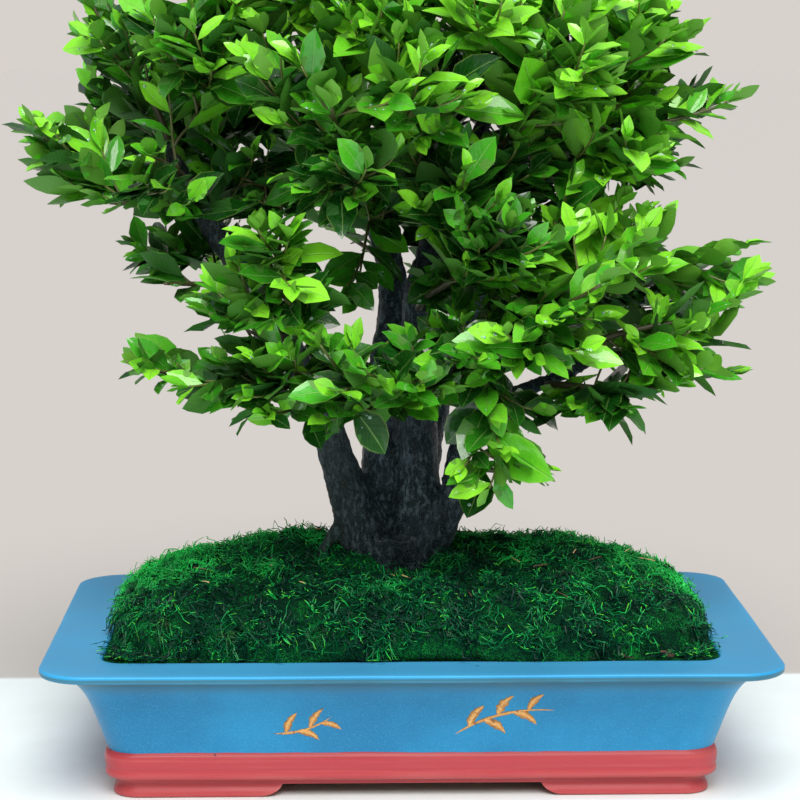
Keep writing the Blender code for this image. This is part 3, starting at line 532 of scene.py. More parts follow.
bark, shader, place = new_finish("wet_sandalwood_bark")
along = stretched(place, rotation=(0.18, 0.34, 0.0), scale=(1.0, 1.0, 0.42))
ridges = grain(along, 380.0, 5.0, 0.68, 0.4)
plates = grain(along, 95.0, 4.0, 0.6)
wrinkles = grain(stretched(place, scale=(0.22, 0.22, 1.0)), 520.0, 3.0)
damp = grain(place, 21.0, 3.0)
pores = grain(place, 620.0, 3.0, 0.65)
colour = blend(between(plates, 0.38, 0.68), BARK_DARK, BARK_MIDDLE)
colour = blend(between(pores, 0.50, 0.36, 0.0, 0.8), colour, BARK_DARK)
# Fine specks and the damp ridges take a pale blue-grey: partly lighter bark, partly painted wet glints.
specks = grain(place, 1300.0, 2.0, 0.7)
colour = blend(between(specks, 0.52, 0.70, 0.0, 0.6), colour, BARK_RIDGE_AND_GLINT)
lit_ridge = times(between(ridges, 0.47, 0.64), between(damp, 0.30, 0.62))
colour = blend(lit_ridge, colour, BARK_RIDGE_AND_GLINT)
parts = parts_of(place)
outer = between(parts[0], -0.022, -0.042)
colour = blend(times(outer, 0.30), colour, DRIER_BARK)
wet_foot = times(between(parts[2], 0.175, 0.115), between(damp, 0.50, 0.72))
colour = blend(times(wet_foot, 0.60), colour, ALGAE)
feed(shader, {"Base Color": colour, "Roughness": between(damp, 0.35, 0.65, 0.28, 0.66)})
feed(shader, {"Specular IOR Level": 0.50, "Specular Tint": (0.62, 0.86, 1.0, 1.0)})
feed(shader, {"Coat Weight": 0.08, "Coat Roughness": 0.20})
relief = times_plus(wrinkles, 0.60, times_plus(plates, 0.8, ridges))
relief = times_plus(pores, 0.9, times_plus(specks, 0.45, relief))
raise_surface(shader, relief, 1.0, 0.0046)
trunk.data.materials.clear()
trunk.data.materials.append(bark)
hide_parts("trunk")
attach(trunk, "root")

# The moss
# A mat of long-stranded green moss, laid over the soil in a mound and pressed round the foot of the trunk.
# Under it is a low lumpy felt; on it lie thousands of thin curled strands with side shoots and bright tips.
MOSS_EDGE_HEIGHT = 0.0815
MOUND_RISE = 0.040
MOUND_POWER = 4
MOUND_ROUNDING = 0.45
HALF_MAT_X = RIM_WIDTH / 2 - LIP_WIDTH
HALF_MAT_Y = RIM_DEPTH / 2 - LIP_WIDTH
TRUNK_X = -0.009
CLUMPS = 1000
EDGE_CLUMPS = 150
STRANDS_IN_A_CLUMP = 11
SIDE_SHOOTS = 6800
STRAND_RADIUS = 0.00042
MOSS_DEEP = (0.0006, 0.0200, 0.0140)
MOSS_MIDDLE = (0.0012, 0.1200, 0.0420)
MOSS_BRIGHT = (0.0160, 0.7000, 0.1000)
MOSS_TIP = (0.2300, 0.8800, 0.0300)
MOSS_DRY = (0.0500, 0.0700, 0.0160)
MOSS_PAINTED_LIGHT_IN_SHADE = (0.0300, 0.8000, 0.1300)
FELT_GREEN = (0.0010, 0.0700, 0.0300)
# Bumps and dips of the mound: place, height and spread.
hummocks = [
    (-0.055, 0.004, 0.0130, 0.026), (-0.090, 0.008, 0.0070, 0.030), (-0.030, -0.028, 0.0050, 0.012),
    (0.001, -0.039, -0.0130, 0.015), (0.023, -0.026, 0.0050, 0.010), (0.036, 0.012, 0.0075, 0.022),
    (0.083, 0.012, 0.0110, 0.026), (0.120, -0.004, 0.0050, 0.026), (0.000, 0.055, 0.0060, 0.030),
]  # fmt: skip


def mat_reach(x, y):
    """How far out a point of the mat lies, from 0 in the middle to 1 at the pot's inside edge."""
    return (np.abs(x / HALF_MAT_X) ** 4 + np.abs(y / HALF_MAT_Y) ** 4) ** 0.25


def lumps(x, y):
    """Hummocks and hollows of the mat, from crossing waves of unlike lengths."""
    low = np.sin(x * 171 + 1.7 * np.sin(y * 143)) * np.cos(y * 197 + 1.3 * np.sin(x * 119))
    fine = np.sin(x * 467 + 2.1 * np.sin(y * 389 + 1.0)) * np.cos(y * 523 + 1.9 * np.sin(x * 431))
    return 0.0034 * low + 0.0017 * fine


def mat_height(x, y):
    """The height of the felt under the strands."""
    reach = np.minimum(1.0, mat_reach(x, y))
    rise = MOUND_RISE * (1.0 - reach**MOUND_POWER) ** MOUND_ROUNDING
    for middle_x, middle_y, height, spread in hummocks:
        rise = rise + height * np.exp(-((x - middle_x) ** 2 + (y - middle_y) ** 2) / spread**2)
    return MOSS_EDGE_HEIGHT + rise + lumps(x, y) * (1.0 - 0.6 * reach**6) - 0.0022


def mat_normals(x, y):
    """The direction straight out of the felt at each place."""
    slope_x = (mat_height(x + 0.0006, y) - mat_height(x - 0.0006, y)) / 0.0012
    slope_y = (mat_height(x, y + 0.0006) - mat_height(x, y - 0.0006)) / 0.0012
    out = np.stack([-slope_x, -slope_y, np.ones_like(slope_x)], axis=1)
    return out / np.linalg.norm(out, axis=1, keepdims=True)


edge = np.array([(p.x, p.y) for p in pot_ring(LIP_WIDTH + 0.0004, 0.0, CAVITY_CORNER)])
angles = np.arctan2(edge[:, 1], edge[:, 0] - TRUNK_X)
hole = np.stack([TRUNK_X + 0.0300 * np.cos(angles), 0.0240 * np.sin(angles)], axis=1)
top_rings, under_rings = [], []
for k in range(41):
    share = 1.0 - (1.0 - k / 40) ** 1.5
    flat = hole + (edge - hole) * share
    height = mat_height(flat[:, 0], flat[:, 1])
    top_rings.append([Vector((x, y, z)) for (x, y), z in zip(flat, height)])
    if k % 5 == 0:
        under_rings.append([Vector((x, y, z - 0.0075)) for (x, y), z in zip(flat, height)])
bm = bmesh.new()
skin_between(bm, top_rings[::-1] + under_rings, ring_shaped=True)
felt = piece_from(bm, "moss_felt")
felt.data.shade_smooth()

felt_green, shader, place = new_finish("moss_felt_green")
tangle = grain(place, 380.0, 6.0, 0.7, 1.4)
tufts = grain(place, 60.0, 3.0)
colour = blend(between(tangle, 0.40, 0.75), MOSS_DEEP, FELT_GREEN)
relief = tangle
layers = ((190.0, (0.3, 0.2, 0.1), 0.6), (240.0, (1.1, 0.6, 0.8), 0.9), (290.0, (0.5, 1.5, 2.1), 1.0))
for scale, turn, share_of_bright in layers:
    laid = stretched(place, rotation=turn, scale=(1.0, 0.55, 1.0))
    wander = calculate("ABSOLUTE", minus(grain(laid, scale, 2.0, 0.5, 2.0), 0.5))
    string = between(wander, 0.040, 0.006)
    fresh = times(between(tufts, 0.35, 0.70), share_of_bright)
    green = blend(fresh, MOSS_MIDDLE, MOSS_BRIGHT)
    colour = blend(times(string, 0.85), colour, green)
    relief = plus(relief, times(string, 1.1))
feed(shader, {"Base Color": colour, "Roughness": 0.90, "Specular IOR Level": 0.10})
raise_surface(shader, relief, 1.0, 0.0034)
felt.data.materials.append(felt_green)
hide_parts("moss")
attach(felt, "root")


def thin_tubes(paths, radii, sides):
    """Closed tubes along many paths of equally many points: their points, sides, ends and shares."""
    count, stations, _ = paths.shape
    along = np.gradient(paths, axis=1)
    along /= np.linalg.norm(along, axis=2, keepdims=True) + 1e-12
    whole = paths[:, -1] - paths[:, 0]
    upright = np.abs(whole[:, 2]) > 0.8 * np.linalg.norm(whole, axis=1)
    aside = np.where(upright[:, None], (1.0, 0.2, 0.0), (0.1, 0.0, 1.0))[:, None, :]
    first = np.cross(along, np.broadcast_to(aside, along.shape))
    first /= np.linalg.norm(first, axis=2, keepdims=True) + 1e-12
    second = np.cross(along, first)
    turns = 2 * np.pi * np.arange(sides) / sides
    ring = np.cos(turns)[:, None] * first[:, :, None, :] + np.sin(turns)[:, None] * second[:, :, None, :]
    rings = paths[:, :, None, :] + radii[:, :, None, None] * ring
    points = rings.reshape(count, -1, 3)
    k, j = np.meshgrid(np.arange(stations - 1), np.arange(sides), indexing="ij")
    here, after = (k * sides + j).ravel(), (k * sides + (j + 1) % sides).ravel()
    quads = np.stack([here, after, after + sides, here + sides], axis=1)
    ends = np.stack([np.arange(sides)[::-1], (stations - 1) * sides + np.arange(sides)])
    offset = (np.arange(count) * points.shape[1])[:, None, None]
    shares = np.repeat(np.linspace(0, 1, stations), sides)
    return (
        points.reshape(-1, 3),
        (quads[None] + offset).reshape(-1, 4),
        (ends[None] + offset).reshape(-1, sides),
        np.tile(shares, count),
    )


class Grown:
    """Collects the points and faces of what grew, until they become one piece."""

    def __init__(self):
        self.points, self.faces, self.slots, self.marks = [], [], [], []
        self.count = 0

    def add(self, points, faces, slot, marks):
        """Faces is a list of arrays; marks has two texture coordinates and a tone for each point."""
        for face in faces:
            self.faces.append(face + self.count)
            self.slots.append(np.full(len(face), slot))
        self.points.append(points)
        self.marks.append(marks)
        self.count += len(points)

    def add_tubes(self, paths, radii, sides, slot, tones):
        points, quads, ends, shares = thin_tubes(paths, radii, sides)
        each = len(points) // len(paths)
        marks = np.stack([shares, np.zeros_like(shares), np.repeat(tones, each)], axis=1)
        self.add(points, [quads, ends], slot, marks)

    def piece(self, name, finishes):
        mesh = bpy.data.meshes.new(name)
        points, marks = np.concatenate(self.points), np.concatenate(self.marks)
        corners = np.concatenate([face.ravel() for face in self.faces])
        sizes = np.concatenate([np.full(len(face), face.shape[1]) for face in self.faces])
        mesh.vertices.add(len(points))
        mesh.vertices.foreach_set("co", points.astype(np.float32).ravel())
        mesh.loops.add(len(corners))
        mesh.loops.foreach_set("vertex_index", corners.astype(np.int32))
        mesh.polygons.add(len(sizes))
        starts = np.concatenate([[0], np.cumsum(sizes)[:-1]])
        mesh.polygons.foreach_set("loop_start", starts.astype(np.int32))
        mesh.polygons.foreach_set("material_index", np.concatenate(self.slots).astype(np.int32))
        mesh.update(calc_edges=True)
        sheet = mesh.uv_layers.new(name="lengthways")
        sheet.data.foreach_set("uv", marks[corners, :2].astype(np.float32).ravel())
        tone = mesh.attributes.new("tone", "FLOAT", "POINT")
        tone.data.foreach_set("value", marks[:, 2].astype(np.float32))
        mesh.shade_smooth()
        mesh.set_sharp_from_angle(angle=math.radians(100))
        for finish in finishes:
            mesh.materials.append(finish)
        made = bpy.data.objects.new(name, mesh)
        bpy.context.scene.collection.objects.link(made)
        return made


def unit(vectors):
    return vectors / (np.linalg.norm(vectors, axis=-1, keepdims=True) + 1e-12)


chance = np.random.default_rng(41)


def moss_strands(spots, turns, lengths, lift, stations, curl):
    """Paths that creep over the mat from each spot, curl to the sides, and rise from it as they go. The
    turns are angles on the mat's own surface, from straight downhill."""
    t = np.linspace(0, 1, stations)[None, :]
    out = mat_normals(*spots.T)
    bend = chance.normal(0, curl, (len(spots), 1))
    phase = chance.uniform(0, 6.28, (len(spots), 1))
    turn = turns[:, None] + bend * t + 0.7 * np.sin(6.0 * t + phase)
    level = unit(np.stack([-out[:, 1], out[:, 0], np.zeros(len(out))], axis=1))
    heading = np.cos(turn[:, :1]) * np.cross(level, out) + np.sin(turn[:, :1]) * level
    flat = [spots]
    for k in range(1, stations):
        up = mat_normals(*flat[-1].T)
        swing = (turn[:, k] - turn[:, k - 1])[:, None]
        heading = heading * np.cos(swing) + np.cross(up, heading) * np.sin(swing)
        heading = unit(heading - up * (heading * up).sum(1, keepdims=True))
        flat.append(flat[-1] + lengths[:, None] / (stations - 1) * heading[:, :2])
    x, y = np.stack(flat, axis=2).transpose(1, 0, 2)
    over_lip = mat_reach(x, y) > 0.997
    ground = np.where(over_lip, POT_HEIGHT + 0.0006, mat_height(x, y))
    rise = lengths[:, None] * (lift[:, None] * (1.7 * t - 1.05 * t**2) + 0.05 * np.sin(7.5 * t + phase) * t)
    rise = np.maximum(rise, 0.0005 * (t > 0)) - 0.0006 * (t == 0)
    return np.stack([x, y, ground], axis=2) + out[:, None, :] * rise[:, :, None]


clumps = chance.uniform(-1, 1, (CLUMPS * 8, 2)) * (HALF_MAT_X, HALF_MAT_Y)
from_trunk = np.hypot((clumps[:, 0] - TRUNK_X) / 0.029, clumps[:, 1] / 0.024)
steepness = 1.0 / mat_normals(*clumps.T)[:, 2]
kept = (mat_reach(*clumps.T) < 0.992) & (from_trunk > 1.0) & (chance.random(len(clumps)) * 7 < steepness**1.5)
along_edge = edge[chance.integers(0, len(edge), EDGE_CLUMPS)] * chance.uniform(0.93, 0.975, (EDGE_CLUMPS, 1))
clumps = np.concatenate([clumps[kept][:CLUMPS], along_edge])
of_clump = np.repeat(np.arange(len(clumps)), STRANDS_IN_A_CLUMP)
count = len(of_clump)
offset = chance.normal(0, 0.0026, (count, 2))
out = mat_normals(*clumps[of_clump].T)
downhill = unit(out[:, :2])
spots = clumps[of_clump] + offset[:, :1] * out[:, 2:] * downhill + offset[:, 1:] * downhill[:, ::-1] * (-1, 1)
reach = mat_reach(*spots.T)
spots = np.where((reach > 0.994)[:, None], clumps[of_clump], spots)
combed = chance.uniform(0, 6.28, len(clumps))[of_clump] + chance.normal(0, 0.75, count)
turns = np.where(chance.random(count) < 0.45, np.arctan2(offset[:, 1], offset[:, 0]), combed)
# On the steep side of the mound the strands lie across the slope, and at its foot some reach over the lip.
steep = 1.0 / mat_normals(*spots.T)[:, 2]
across = chance.choice((-1.57, 1.57), count) + chance.normal(0, 0.60, count)
turns = np.where(chance.random(count) * 3.0 < steep - 1.0, across, turns)
over_edge = (mat_reach(*spots.T) > 0.955) & (chance.random(count) < 0.25)
turns = np.where(over_edge, chance.normal(0, 0.9, count), turns)
lengths = chance.uniform(0.006, 0.014, count) * chance.uniform(0.75, 1.25, len(clumps))[of_clump]
standing = chance.random(count) < 0.20
lift = np.where(standing, chance.uniform(0.34, 0.62, count), chance.uniform(0.08, 0.40, count))
lift *= np.minimum(1.5, 0.8 + 0.2 * steep) * chance.uniform(0.7, 1.4, len(clumps))[of_clump]
paths = moss_strands(spots, turns, lengths, lift, 4, 1.5)
taper = np.linspace(1.0, 0.45, 4)[None, :]
radii = STRAND_RADIUS * chance.uniform(0.7, 1.25, (count, 1)) * taper
patch = np.sin(clumps[:, 0] * 83 + 2.0 * np.sin(clumps[:, 1] * 67)) * np.cos(clumps[:, 1] * 91 + 1.0)
# Clumps towards the back get lighter tones: painted light in the shade of the crown.
light_painted_towards_back = np.clip(clumps[:, 1] / 0.045, 0, 1)
clump_tones = chance.normal(0.38, 0.24, len(clumps)) + 0.22 * patch + 0.42 * light_painted_towards_back
tones = np.clip(clump_tones[of_clump] + chance.normal(0.0, 0.22, count), 0, 1)
half = (count // STRANDS_IN_A_CLUMP // 2) * STRANDS_IN_A_CLUMP
moss_parts = []
for part, name in ((slice(0, half), "moss_strands_first_laid"), (slice(half, count), "moss_strands_on_top")):
    strands = Grown()
    strands.add_tubes(paths[part], radii[part], 3, 0, tones[part])
    moss_parts.append((strands, name))

parents = chance.integers(0, count, SIDE_SHOOTS)
station = chance.integers(1, 4, SIDE_SHOOTS)
starts = paths[parents, station]
ahead = unit(paths[parents, station] - paths[parents, station - 1])
up = mat_normals(*starts[:, :2].T)
sideways = unit(np.cross(ahead, up)) * chance.choice((-1.0, 1.0), (SIDE_SHOOTS, 1))
way = unit(0.8 * ahead + sideways + up * chance.uniform(-0.15, 0.7, (SIDE_SHOOTS, 1)))
reach_out = chance.uniform(0.0020, 0.0050, (SIDE_SHOOTS, 1))
side_ends = starts + reach_out * unit(way + 0.7 * ahead)
side_paths = np.stack([starts, starts + 0.5 * reach_out * way, side_ends], axis=1)
side_radii = STRAND_RADIUS * chance.uniform(0.6, 0.95, (SIDE_SHOOTS, 1)) * np.array([[1.0, 0.85, 0.45]])
side_tones = np.clip(tones[parents] + chance.normal(0.12, 0.20, SIDE_SHOOTS), 0, 1)
shoots = Grown()
shoots.add_tubes(side_paths, side_radii, 3, 0, side_tones)
moss_parts.append((shoots, "moss_side_shoots"))


def own_marks(place):
    """The tone of each thing that grew, and how far along and across it a point of its surface lies."""
    tone = step(place, "Attribute", {}, attribute_name="tone").outputs["Fac"]
    spread = parts_of(step(place, "UVMap", {}, uv_map="lengthways").outputs[0])
    return tone, spread[0], spread[1]


strand_green, shader, place = new_finish("moss_strand_green")
tone, share, _ = own_marks(place)
fleck = grain(place, 600.0, 2.0)
freshness = times_plus(fleck, 0.30, times_plus(tone, 0.75, -0.15))
colour = blend(between(freshness, 0.05, 0.60), MOSS_DEEP, MOSS_MIDDLE)
bright = times(between(freshness, 0.42, 0.85), between(share, 0.1, 1.0, 0.30, 1.0))
colour = blend(bright, colour, MOSS_BRIGHT)
fresh_tip = times(between(share, 0.72, 0.98), between(freshness, 0.52, 0.80))
colour = blend(fresh_tip, colour, MOSS_TIP)
dry = times(between(grain(place, 45.0, 2.0), 0.62, 0.74), 0.30)
colour = blend(dry, colour, MOSS_DRY)
# Towards the back, in patches, the strands take a lighter green: painted light in the shade of the crown.
depth = plus(times_plus(grain(place, 34.0, 3.0), 0.30, -0.15), parts_of(place)[1])
colour = blend(between(depth, -0.050, 0.055, 0.0, 0.80), colour, MOSS_PAINTED_LIGHT_IN_SHADE)
feed(shader, {"Base Color": colour, "Roughness": 0.40, "Specular IOR Level": 0.22})
raise_surface(shader, fleck, 0.5, 0.0003)
for grown, name in moss_parts:
    strands = grown.piece(name, [strand_green])
    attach(strands, "root")

# Bits of straw and dead twig caught in the moss
# Cut lengths of dry grass stalk and twig, 4 to 11 mm, that came in with the moss and lie loose on it.
BITS = 26
STRAW = (0.720, 0.500, 0.230)
STRAW_FIBRE = (0.360, 0.220, 0.090)
DEAD_TWIG = (0.055, 0.035, 0.020)

spots = chance.uniform(-1, 1, (BITS * 4, 2)) * (HALF_MAT_X, HALF_MAT_Y)
clear = (mat_reach(*spots.T) < 0.86) & (np.hypot(spots[:, 0] - TRUNK_X, spots[:, 1]) > 0.045)
spots = spots[clear][:BITS]
turn = chance.uniform(0, 3.14, BITS)
t = np.linspace(-0.5, 0.5, 5)[None, :, None]
lie = np.stack([np.cos(turn), np.sin(turn), chance.uniform(-0.15, 0.25, BITS)], axis=1)
middles = np.stack([*spots.T, mat_height(*spots.T) + 0.0036], axis=1)
sag = np.array((0.0, 0.0, -0.0010)) * t**2
paths = middles[:, None, :] + lie[:, None, :] * chance.uniform(0.004, 0.011, (BITS, 1, 1)) * t + sag
radii = np.repeat(chance.uniform(0.00022, 0.00045, (BITS, 1)), 5, axis=1)
litter = Grown()
litter.add_tubes(paths, radii, 6, 0, chance.random(BITS))
dry_straw, shader, place = new_finish("dry_straw")
tone, _, _ = own_marks(place)
colour = blend(between(tone, 0.35, 0.55), DEAD_TWIG, STRAW)
fibre = grain(place, 1500.0, 3.0)
colour = blend(between(fibre, 0.45, 0.75, 0.0, 0.5), colour, STRAW_FIBRE)
feed(shader, {"Base Color": colour, "Roughness": 0.6})
raise_surface(shader, fibre, 0.6, 0.0002)
straw = litter.piece("straw_bits", [dry_straw])
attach(straw, "root")

# The leafy sprays
# Each is one living branch of the crown: a woody stem with side shoots that turn up to the light, and leaves
# set alternately along them. Old leaves are dark and leathery, the ones at the tips are young and lime green.
LEAF_LENGTH = 0.0292
LEAF_WIDTH_SHARE = 0.50
LEAF_THICKNESS = 0.00032
LEAF_SPACING = (0.0052, 0.0076)
LEAFY_STRETCH = 0.074
LONG_LEAVES = 0.08
SHADED_DEPTH = 0.55
OVERHANGS = (1.05, 1.16, 1.30)
SPACE_FOR_A_SHOOT = 2.5e-5
SHOOT_SPACING = 0.0145
CROWN_MIDDLE = np.array((0.0, 0.0, 0.290))
OLD_LEAF = (0.0045, 0.0640, 0.0042)
FULL_LEAF = (0.0560, 0.4000, 0.0120)
YOUNG_LEAF = (0.2800, 0.8000, 0.0320)
LEAF_RIB = (0.3600, 0.6200, 0.1600)
LEAF_MARGIN_AND_RIM_LIGHT = (0.3000, 0.4500, 0.1000)
OLD_BACK = (0.0200, 0.1250, 0.0120)
YOUNG_BACK = (0.1600, 0.4400, 0.0300)
BACK_VEIN = (0.3000, 0.5200, 0.1600)
WOODY_TWIG = (0.0400, 0.0260, 0.0160)
GREEN_TWIG = (0.1500, 0.1900, 0.0350)
TWIG_SPECKS = (0.1600, 0.1100, 0.0600)


def leaf_pattern(stations, widths, across):
    """A leaf's points as (along, across, width there, 1 for its back), and its upper and under faces."""
    rows = [(0.0, 0.0, 0.0, 0)]
    for t, w in zip(stations, widths):
        rows += [(t, v, w, 0) for v in across] + [(t, 0.0, w, 1)]
    rows.append((1.0, 0.0, 0.0, 0))
    wide = len(across)
    first, last, point = 1, len(rows) - 2 - wide, len(rows) - 1
    top, back = [], []
    for here in range(first, last, wide + 1):
        after = here + wide + 1
        top += [(here + j, here + j + 1, after + j + 1, after + j) for j in range(wide - 1)]
        back += [(here, after, after + wide, here + wide)]
        back += [(here + wide - 1, here + wide, after + wide, after + wide - 1)]
    top_ends = [(0, first + j + 1, first + j) for j in range(wide - 1)]
    top_ends += [(last + j, last + j + 1, point) for j in range(wide - 1)]
    back_ends = [(0, first, first + wide), (0, first + wide, first + wide - 1)]
    back_ends += [(last, point, last + wide), (last + wide, point, last + wide - 1)]
    return np.array(rows), [np.array(part) for part in (top, top_ends, back, back_ends)]


leaf_stations = (0.07, 0.21, 0.40, 0.59, 0.77, 0.91)
leaf_widths = (0.14, 0.55, 0.94, 0.98, 0.73, 0.33)
full_leaf = leaf_pattern(leaf_stations, leaf_widths, (-1.0, -0.5, 0.0, 0.5, 1.0))
shaded_leaf = leaf_pattern((0.12, 0.36, 0.62, 0.85), (0.32, 0.90, 0.97, 0.50), (-1.0, 0.0, 1.0))


def leaf_points(leaves, t, v, w, under):
    """Places on every leaf's surface: t along it, v across it, w its width there, under for its back."""
    base, along, normal = leaves[:, 0:3], leaves[:, 3:6], leaves[:, 6:9]
    length, width, fold, curl, sway, wave = (leaves[:, k, None, None] for k in range(9, 15))
    aside = np.cross(along, normal)[:, None, :]
    along, normal = along[:, None, :], normal[:, None, :]
    t, v, w, under = (np.asarray(a)[..., None] for a in (t, v, w, under))
    bend = np.where(np.abs(curl) < 1e-3, 1e-3, curl)
    path = base[:, None, :] + along * (length * np.sin(bend * t) / bend)
    path = path - normal * (length * (1 - np.cos(bend * t)) / bend) + aside * (sway * length * t**2)
    raised = normal * np.cos(bend * t) + along * np.sin(bend * t)
    half = 0.5 * width * w
    lift = fold * half * np.abs(v) ** 0.8 + wave * half * np.abs(v) * np.sin(13.0 * t + 3.0 * v)
    lift = lift - 0.05 * half * (v == 0) - under * (LEAF_THICKNESS + 0.0004 * (t < 0.1))
    return path + aside * (v * half) + raised * lift


trunk_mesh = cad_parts["trunk"].data
trunk_faces = [polygon.vertices for polygon in trunk_mesh.polygons]
trunk_tree = BVHTree.FromPolygons([vert.co for vert in trunk_mesh.vertices], trunk_faces)


def spray_ends(node):
    """Where the model's spray starts at the trunk, which way it sets off, and its outermost point."""
    points = [v.co.copy() for v in node.data.vertices]
    gaps = [trunk_tree.find_nearest(point)[3] for point in points]
    least = min(gaps)
    ring = [point for point, gap in zip(points, gaps) if gap < least + 0.0006]
    start = sum(ring, Vector()) / len(ring)
    near = [point for point in points if 0.004 < (point - start).length < 0.010]
    heading = (sum(near, Vector()) / len(near) - start).normalized() if near else Vector((0, 0, 1))
    tip = max(points, key=lambda point: (point - start).length)
    return np.array(start), np.array(heading), np.array(tip)


def bent_path(start, heading, end, arriving, stations):
    """A smooth way from the start to the end, with the direction it has at each."""
    t = np.linspace(0, 1, stations)[:, None]
    reach = np.linalg.norm(end - start)
    path = (2 * t**3 - 3 * t**2 + 1) * start + (t**3 - 2 * t**2 + t) * heading * reach
    return path + (3 * t**2 - 2 * t**3) * end + (t**3 - t**2) * arriving * reach


def along_path(path, share):
    """The place and direction at that share of the path."""
    at = share * (len(path) - 1)
    k = min(int(at), len(path) - 2)
    return path[k] + (path[k + 1] - path[k]) * (at - k), unit(path[k + 1] - path[k])


# The foliage gathers in rounded pads, as the tree was clipped: the middle and half size of each, in
# millimetres, and how much fresher and lighter its leaves are than the rest, in hundredths: partly fresh
# growth, partly painted light on the top and right of the crown and painted shade in the deep pads.
foliage_pads = [
    ("far_left", (-201, -20, 370), (40, 55, 29), 13),
    ("left_edge", (-172, 0, 432), (34, 55, 31), 10),
    ("top_left", (-120, -40, 425), (47, 65, 43), 14),
    ("left_inner", (-134, 30, 354), (51, 65, 37), 0),
    ("left_front", (-143, -55, 341), (33, 45, 24), 4),
    ("upper_centre_left", (-62, -80, 411), (46, 60, 48), 8),
    ("centre_left_deep", (-85, -30, 344), (35, 55, 34), -16),
    ("centre_front", (-37, -110, 358), (40, 45, 40), 0),
    ("upper_centre", (4, -100, 409), (45, 60, 48), 18),
    ("centre", (25, -70, 347), (44, 60, 45), 0),
    ("centre_deep", (-13, 10, 346), (39, 55, 35), -18),
    ("centre_low", (50, -80, 304), (37, 50, 34), 0),
    ("upper_right", (81, -70, 414), (48, 62, 48), 40),
    ("top_right", (137, 0, 417), (46, 62, 46), 40),
    ("right_shoulder", (114, -40, 368), (47, 62, 33), 34),
    ("right_spur", (171, 0, 391), (32, 35, 17), 0),
    ("mid_right", (107, -70, 310), (56, 60, 38), 50),
    ("right_tip", (183, -10, 287), (42, 48, 24), 46),
    ("right_low", (150, -30, 250), (47, 55, 32), 40),
    ("lower_right", (75, -90, 268), (46, 50, 37), 24),
    ("lower_centre", (34, -90, 256), (32, 45, 28), -2),
    ("lower_right_under", (111, -60, 221), (43, 45, 18), 6),
    ("bright_cluster", (52, -95, 192), (37, 30, 29), 34),
    ("centre_left_cluster", (-80, -120, 308), (32, 36, 32), 24),
    ("low_left_tip", (-149, -50, 246), (29, 36, 17), 16),
    ("low_left", (-98, -100, 241), (42, 42, 29), 12),
    ("low_front", (-43, -120, 249), (41, 38, 30), 12),
    ("low_centre", (4, -100, 246), (34, 42, 31), 0),
    ("low_front_under", (-35, -110, 221), (32, 30, 14), 0),
    ("gap_low", (-35, -30, 284), (19, 30, 18), 4),
    ("low_left_under", (-84, -100, 222), (25, 30, 13), 0),
    ("drooping_left", (-152, -20, 308), (29, 30, 11), 0),
    ("limb_cover_left", (-104, -100, 283), (26, 34, 28), 8),
    ("left_limb_shade", (-111, 10, 312), (31, 42, 25), 0),
    ("centre_right_gap", (58, -50, 353), (34, 50, 33), 0),
    ("shoulder_gap", (87, -40, 341), (32, 46, 27), 0),
    ("limb_cover_middle", (-63, -105, 278), (32, 34, 22), 0),
    ("centre_right_front", (51, -105, 321), (40, 38, 32), 0),
    ("centre_right_deep", (28, -35, 297), (30, 45, 33), 0),
    ("right_limb_cover", (51, -75, 222), (34, 38, 22), 0),
    ("crown_front_left", (-21, -85, 440), (37, 50, 28), 48),
    ("crown_front_right", (46, -85, 443), (37, 50, 28), 50),
    ("back_left", (-176, 70, 392), (38, 52, 38), -6),
    ("back_upper_left", (-115, 90, 392), (55, 52, 55), -8),
    ("back_upper", (-46, 100, 395), (55, 52, 53), -8),
    ("back_middle", (23, 100, 385), (55, 52, 58), -8),
    ("back_centre", (28, 70, 321), (41, 50, 39), -10),
    ("back_upper_right", (99, 100, 385), (56, 52, 56), 0),
    ("back_right", (145, 70, 362), (37, 52, 35), 0),
    ("back_low_right", (123, 80, 279), (49, 52, 39), 0),
    ("back_low_middle", (54, 90, 266), (42, 50, 38), -8),
    ("back_right_tip", (170, 50, 266), (38, 50, 26), 0),
    ("low_back", (23, 100, 209), (42, 42, 26), -8),
    ("low_back_left", (-85, 80, 228), (34, 42, 28), -8),
    ("back_inner_left", (-152, 80, 352), (36, 42, 34), 0),
    ("crown_left", (-112, -20, 454), (45, 70, 27), 42),
    ("crown_front", (-43, -60, 459), (50, 62, 24), 62),
    ("crown_middle", (23, -30, 464), (51, 70, 24), 62),
    ("crown_right", (91, -20, 460), (49, 70, 26), 62),
    ("crown_far_right", (138, 10, 449), (33, 52, 25), 54),
    ("crown_hollow_left", (-49, 20, 453), (38, 44, 21), 6),
    ("crown_hollow_right", (38, 30, 455), (38, 44, 22), 6),
    ("inner_left", (-104, 42, 409), (42, 36, 29), 0),
    ("inner_right", (82, 45, 405), (43, 36, 29), 0),
    ("crown_bridge_left", (-71, 42, 464), (30, 34, 16), 14),
    ("crown_bridge_middle", (-16, 40, 469), (31, 36, 16), 16),
    ("crown_bridge_right", (39, 44, 469), (30, 34, 16), 18),
    ("crown_bridge_far_right", (86, 42, 461), (28, 34, 17), 16),
    ("crown_back_left", (-64, 70, 460), (52, 52, 26), 6),
    ("crown_back", (22, 80, 464), (56, 52, 26), 6),
    ("crown_back_right", (96, 80, 458), (50, 52, 26), 6),
    ("far_left_under", (-194, -20, 352), (27, 36, 17), 12),
    ("left_gap", (-88, -30, 364), (19, 30, 15), 0),
]
pad_middles = np.array([middle for _, middle, _, _ in foliage_pads]) / 1000
pad_halves = np.array([half for _, _, half, _ in foliage_pads]) / 1000
pad_freshness_and_light = np.array([fresh for _, _, _, fresh in foliage_pads]) / 100


def depth_in_pads(point):
    """How far out in its pad a point lies: 0 at the middle, 1 at the pad's surface, more outside them all."""
    return np.linalg.norm((point - pad_middles) / pad_halves, axis=1).min()


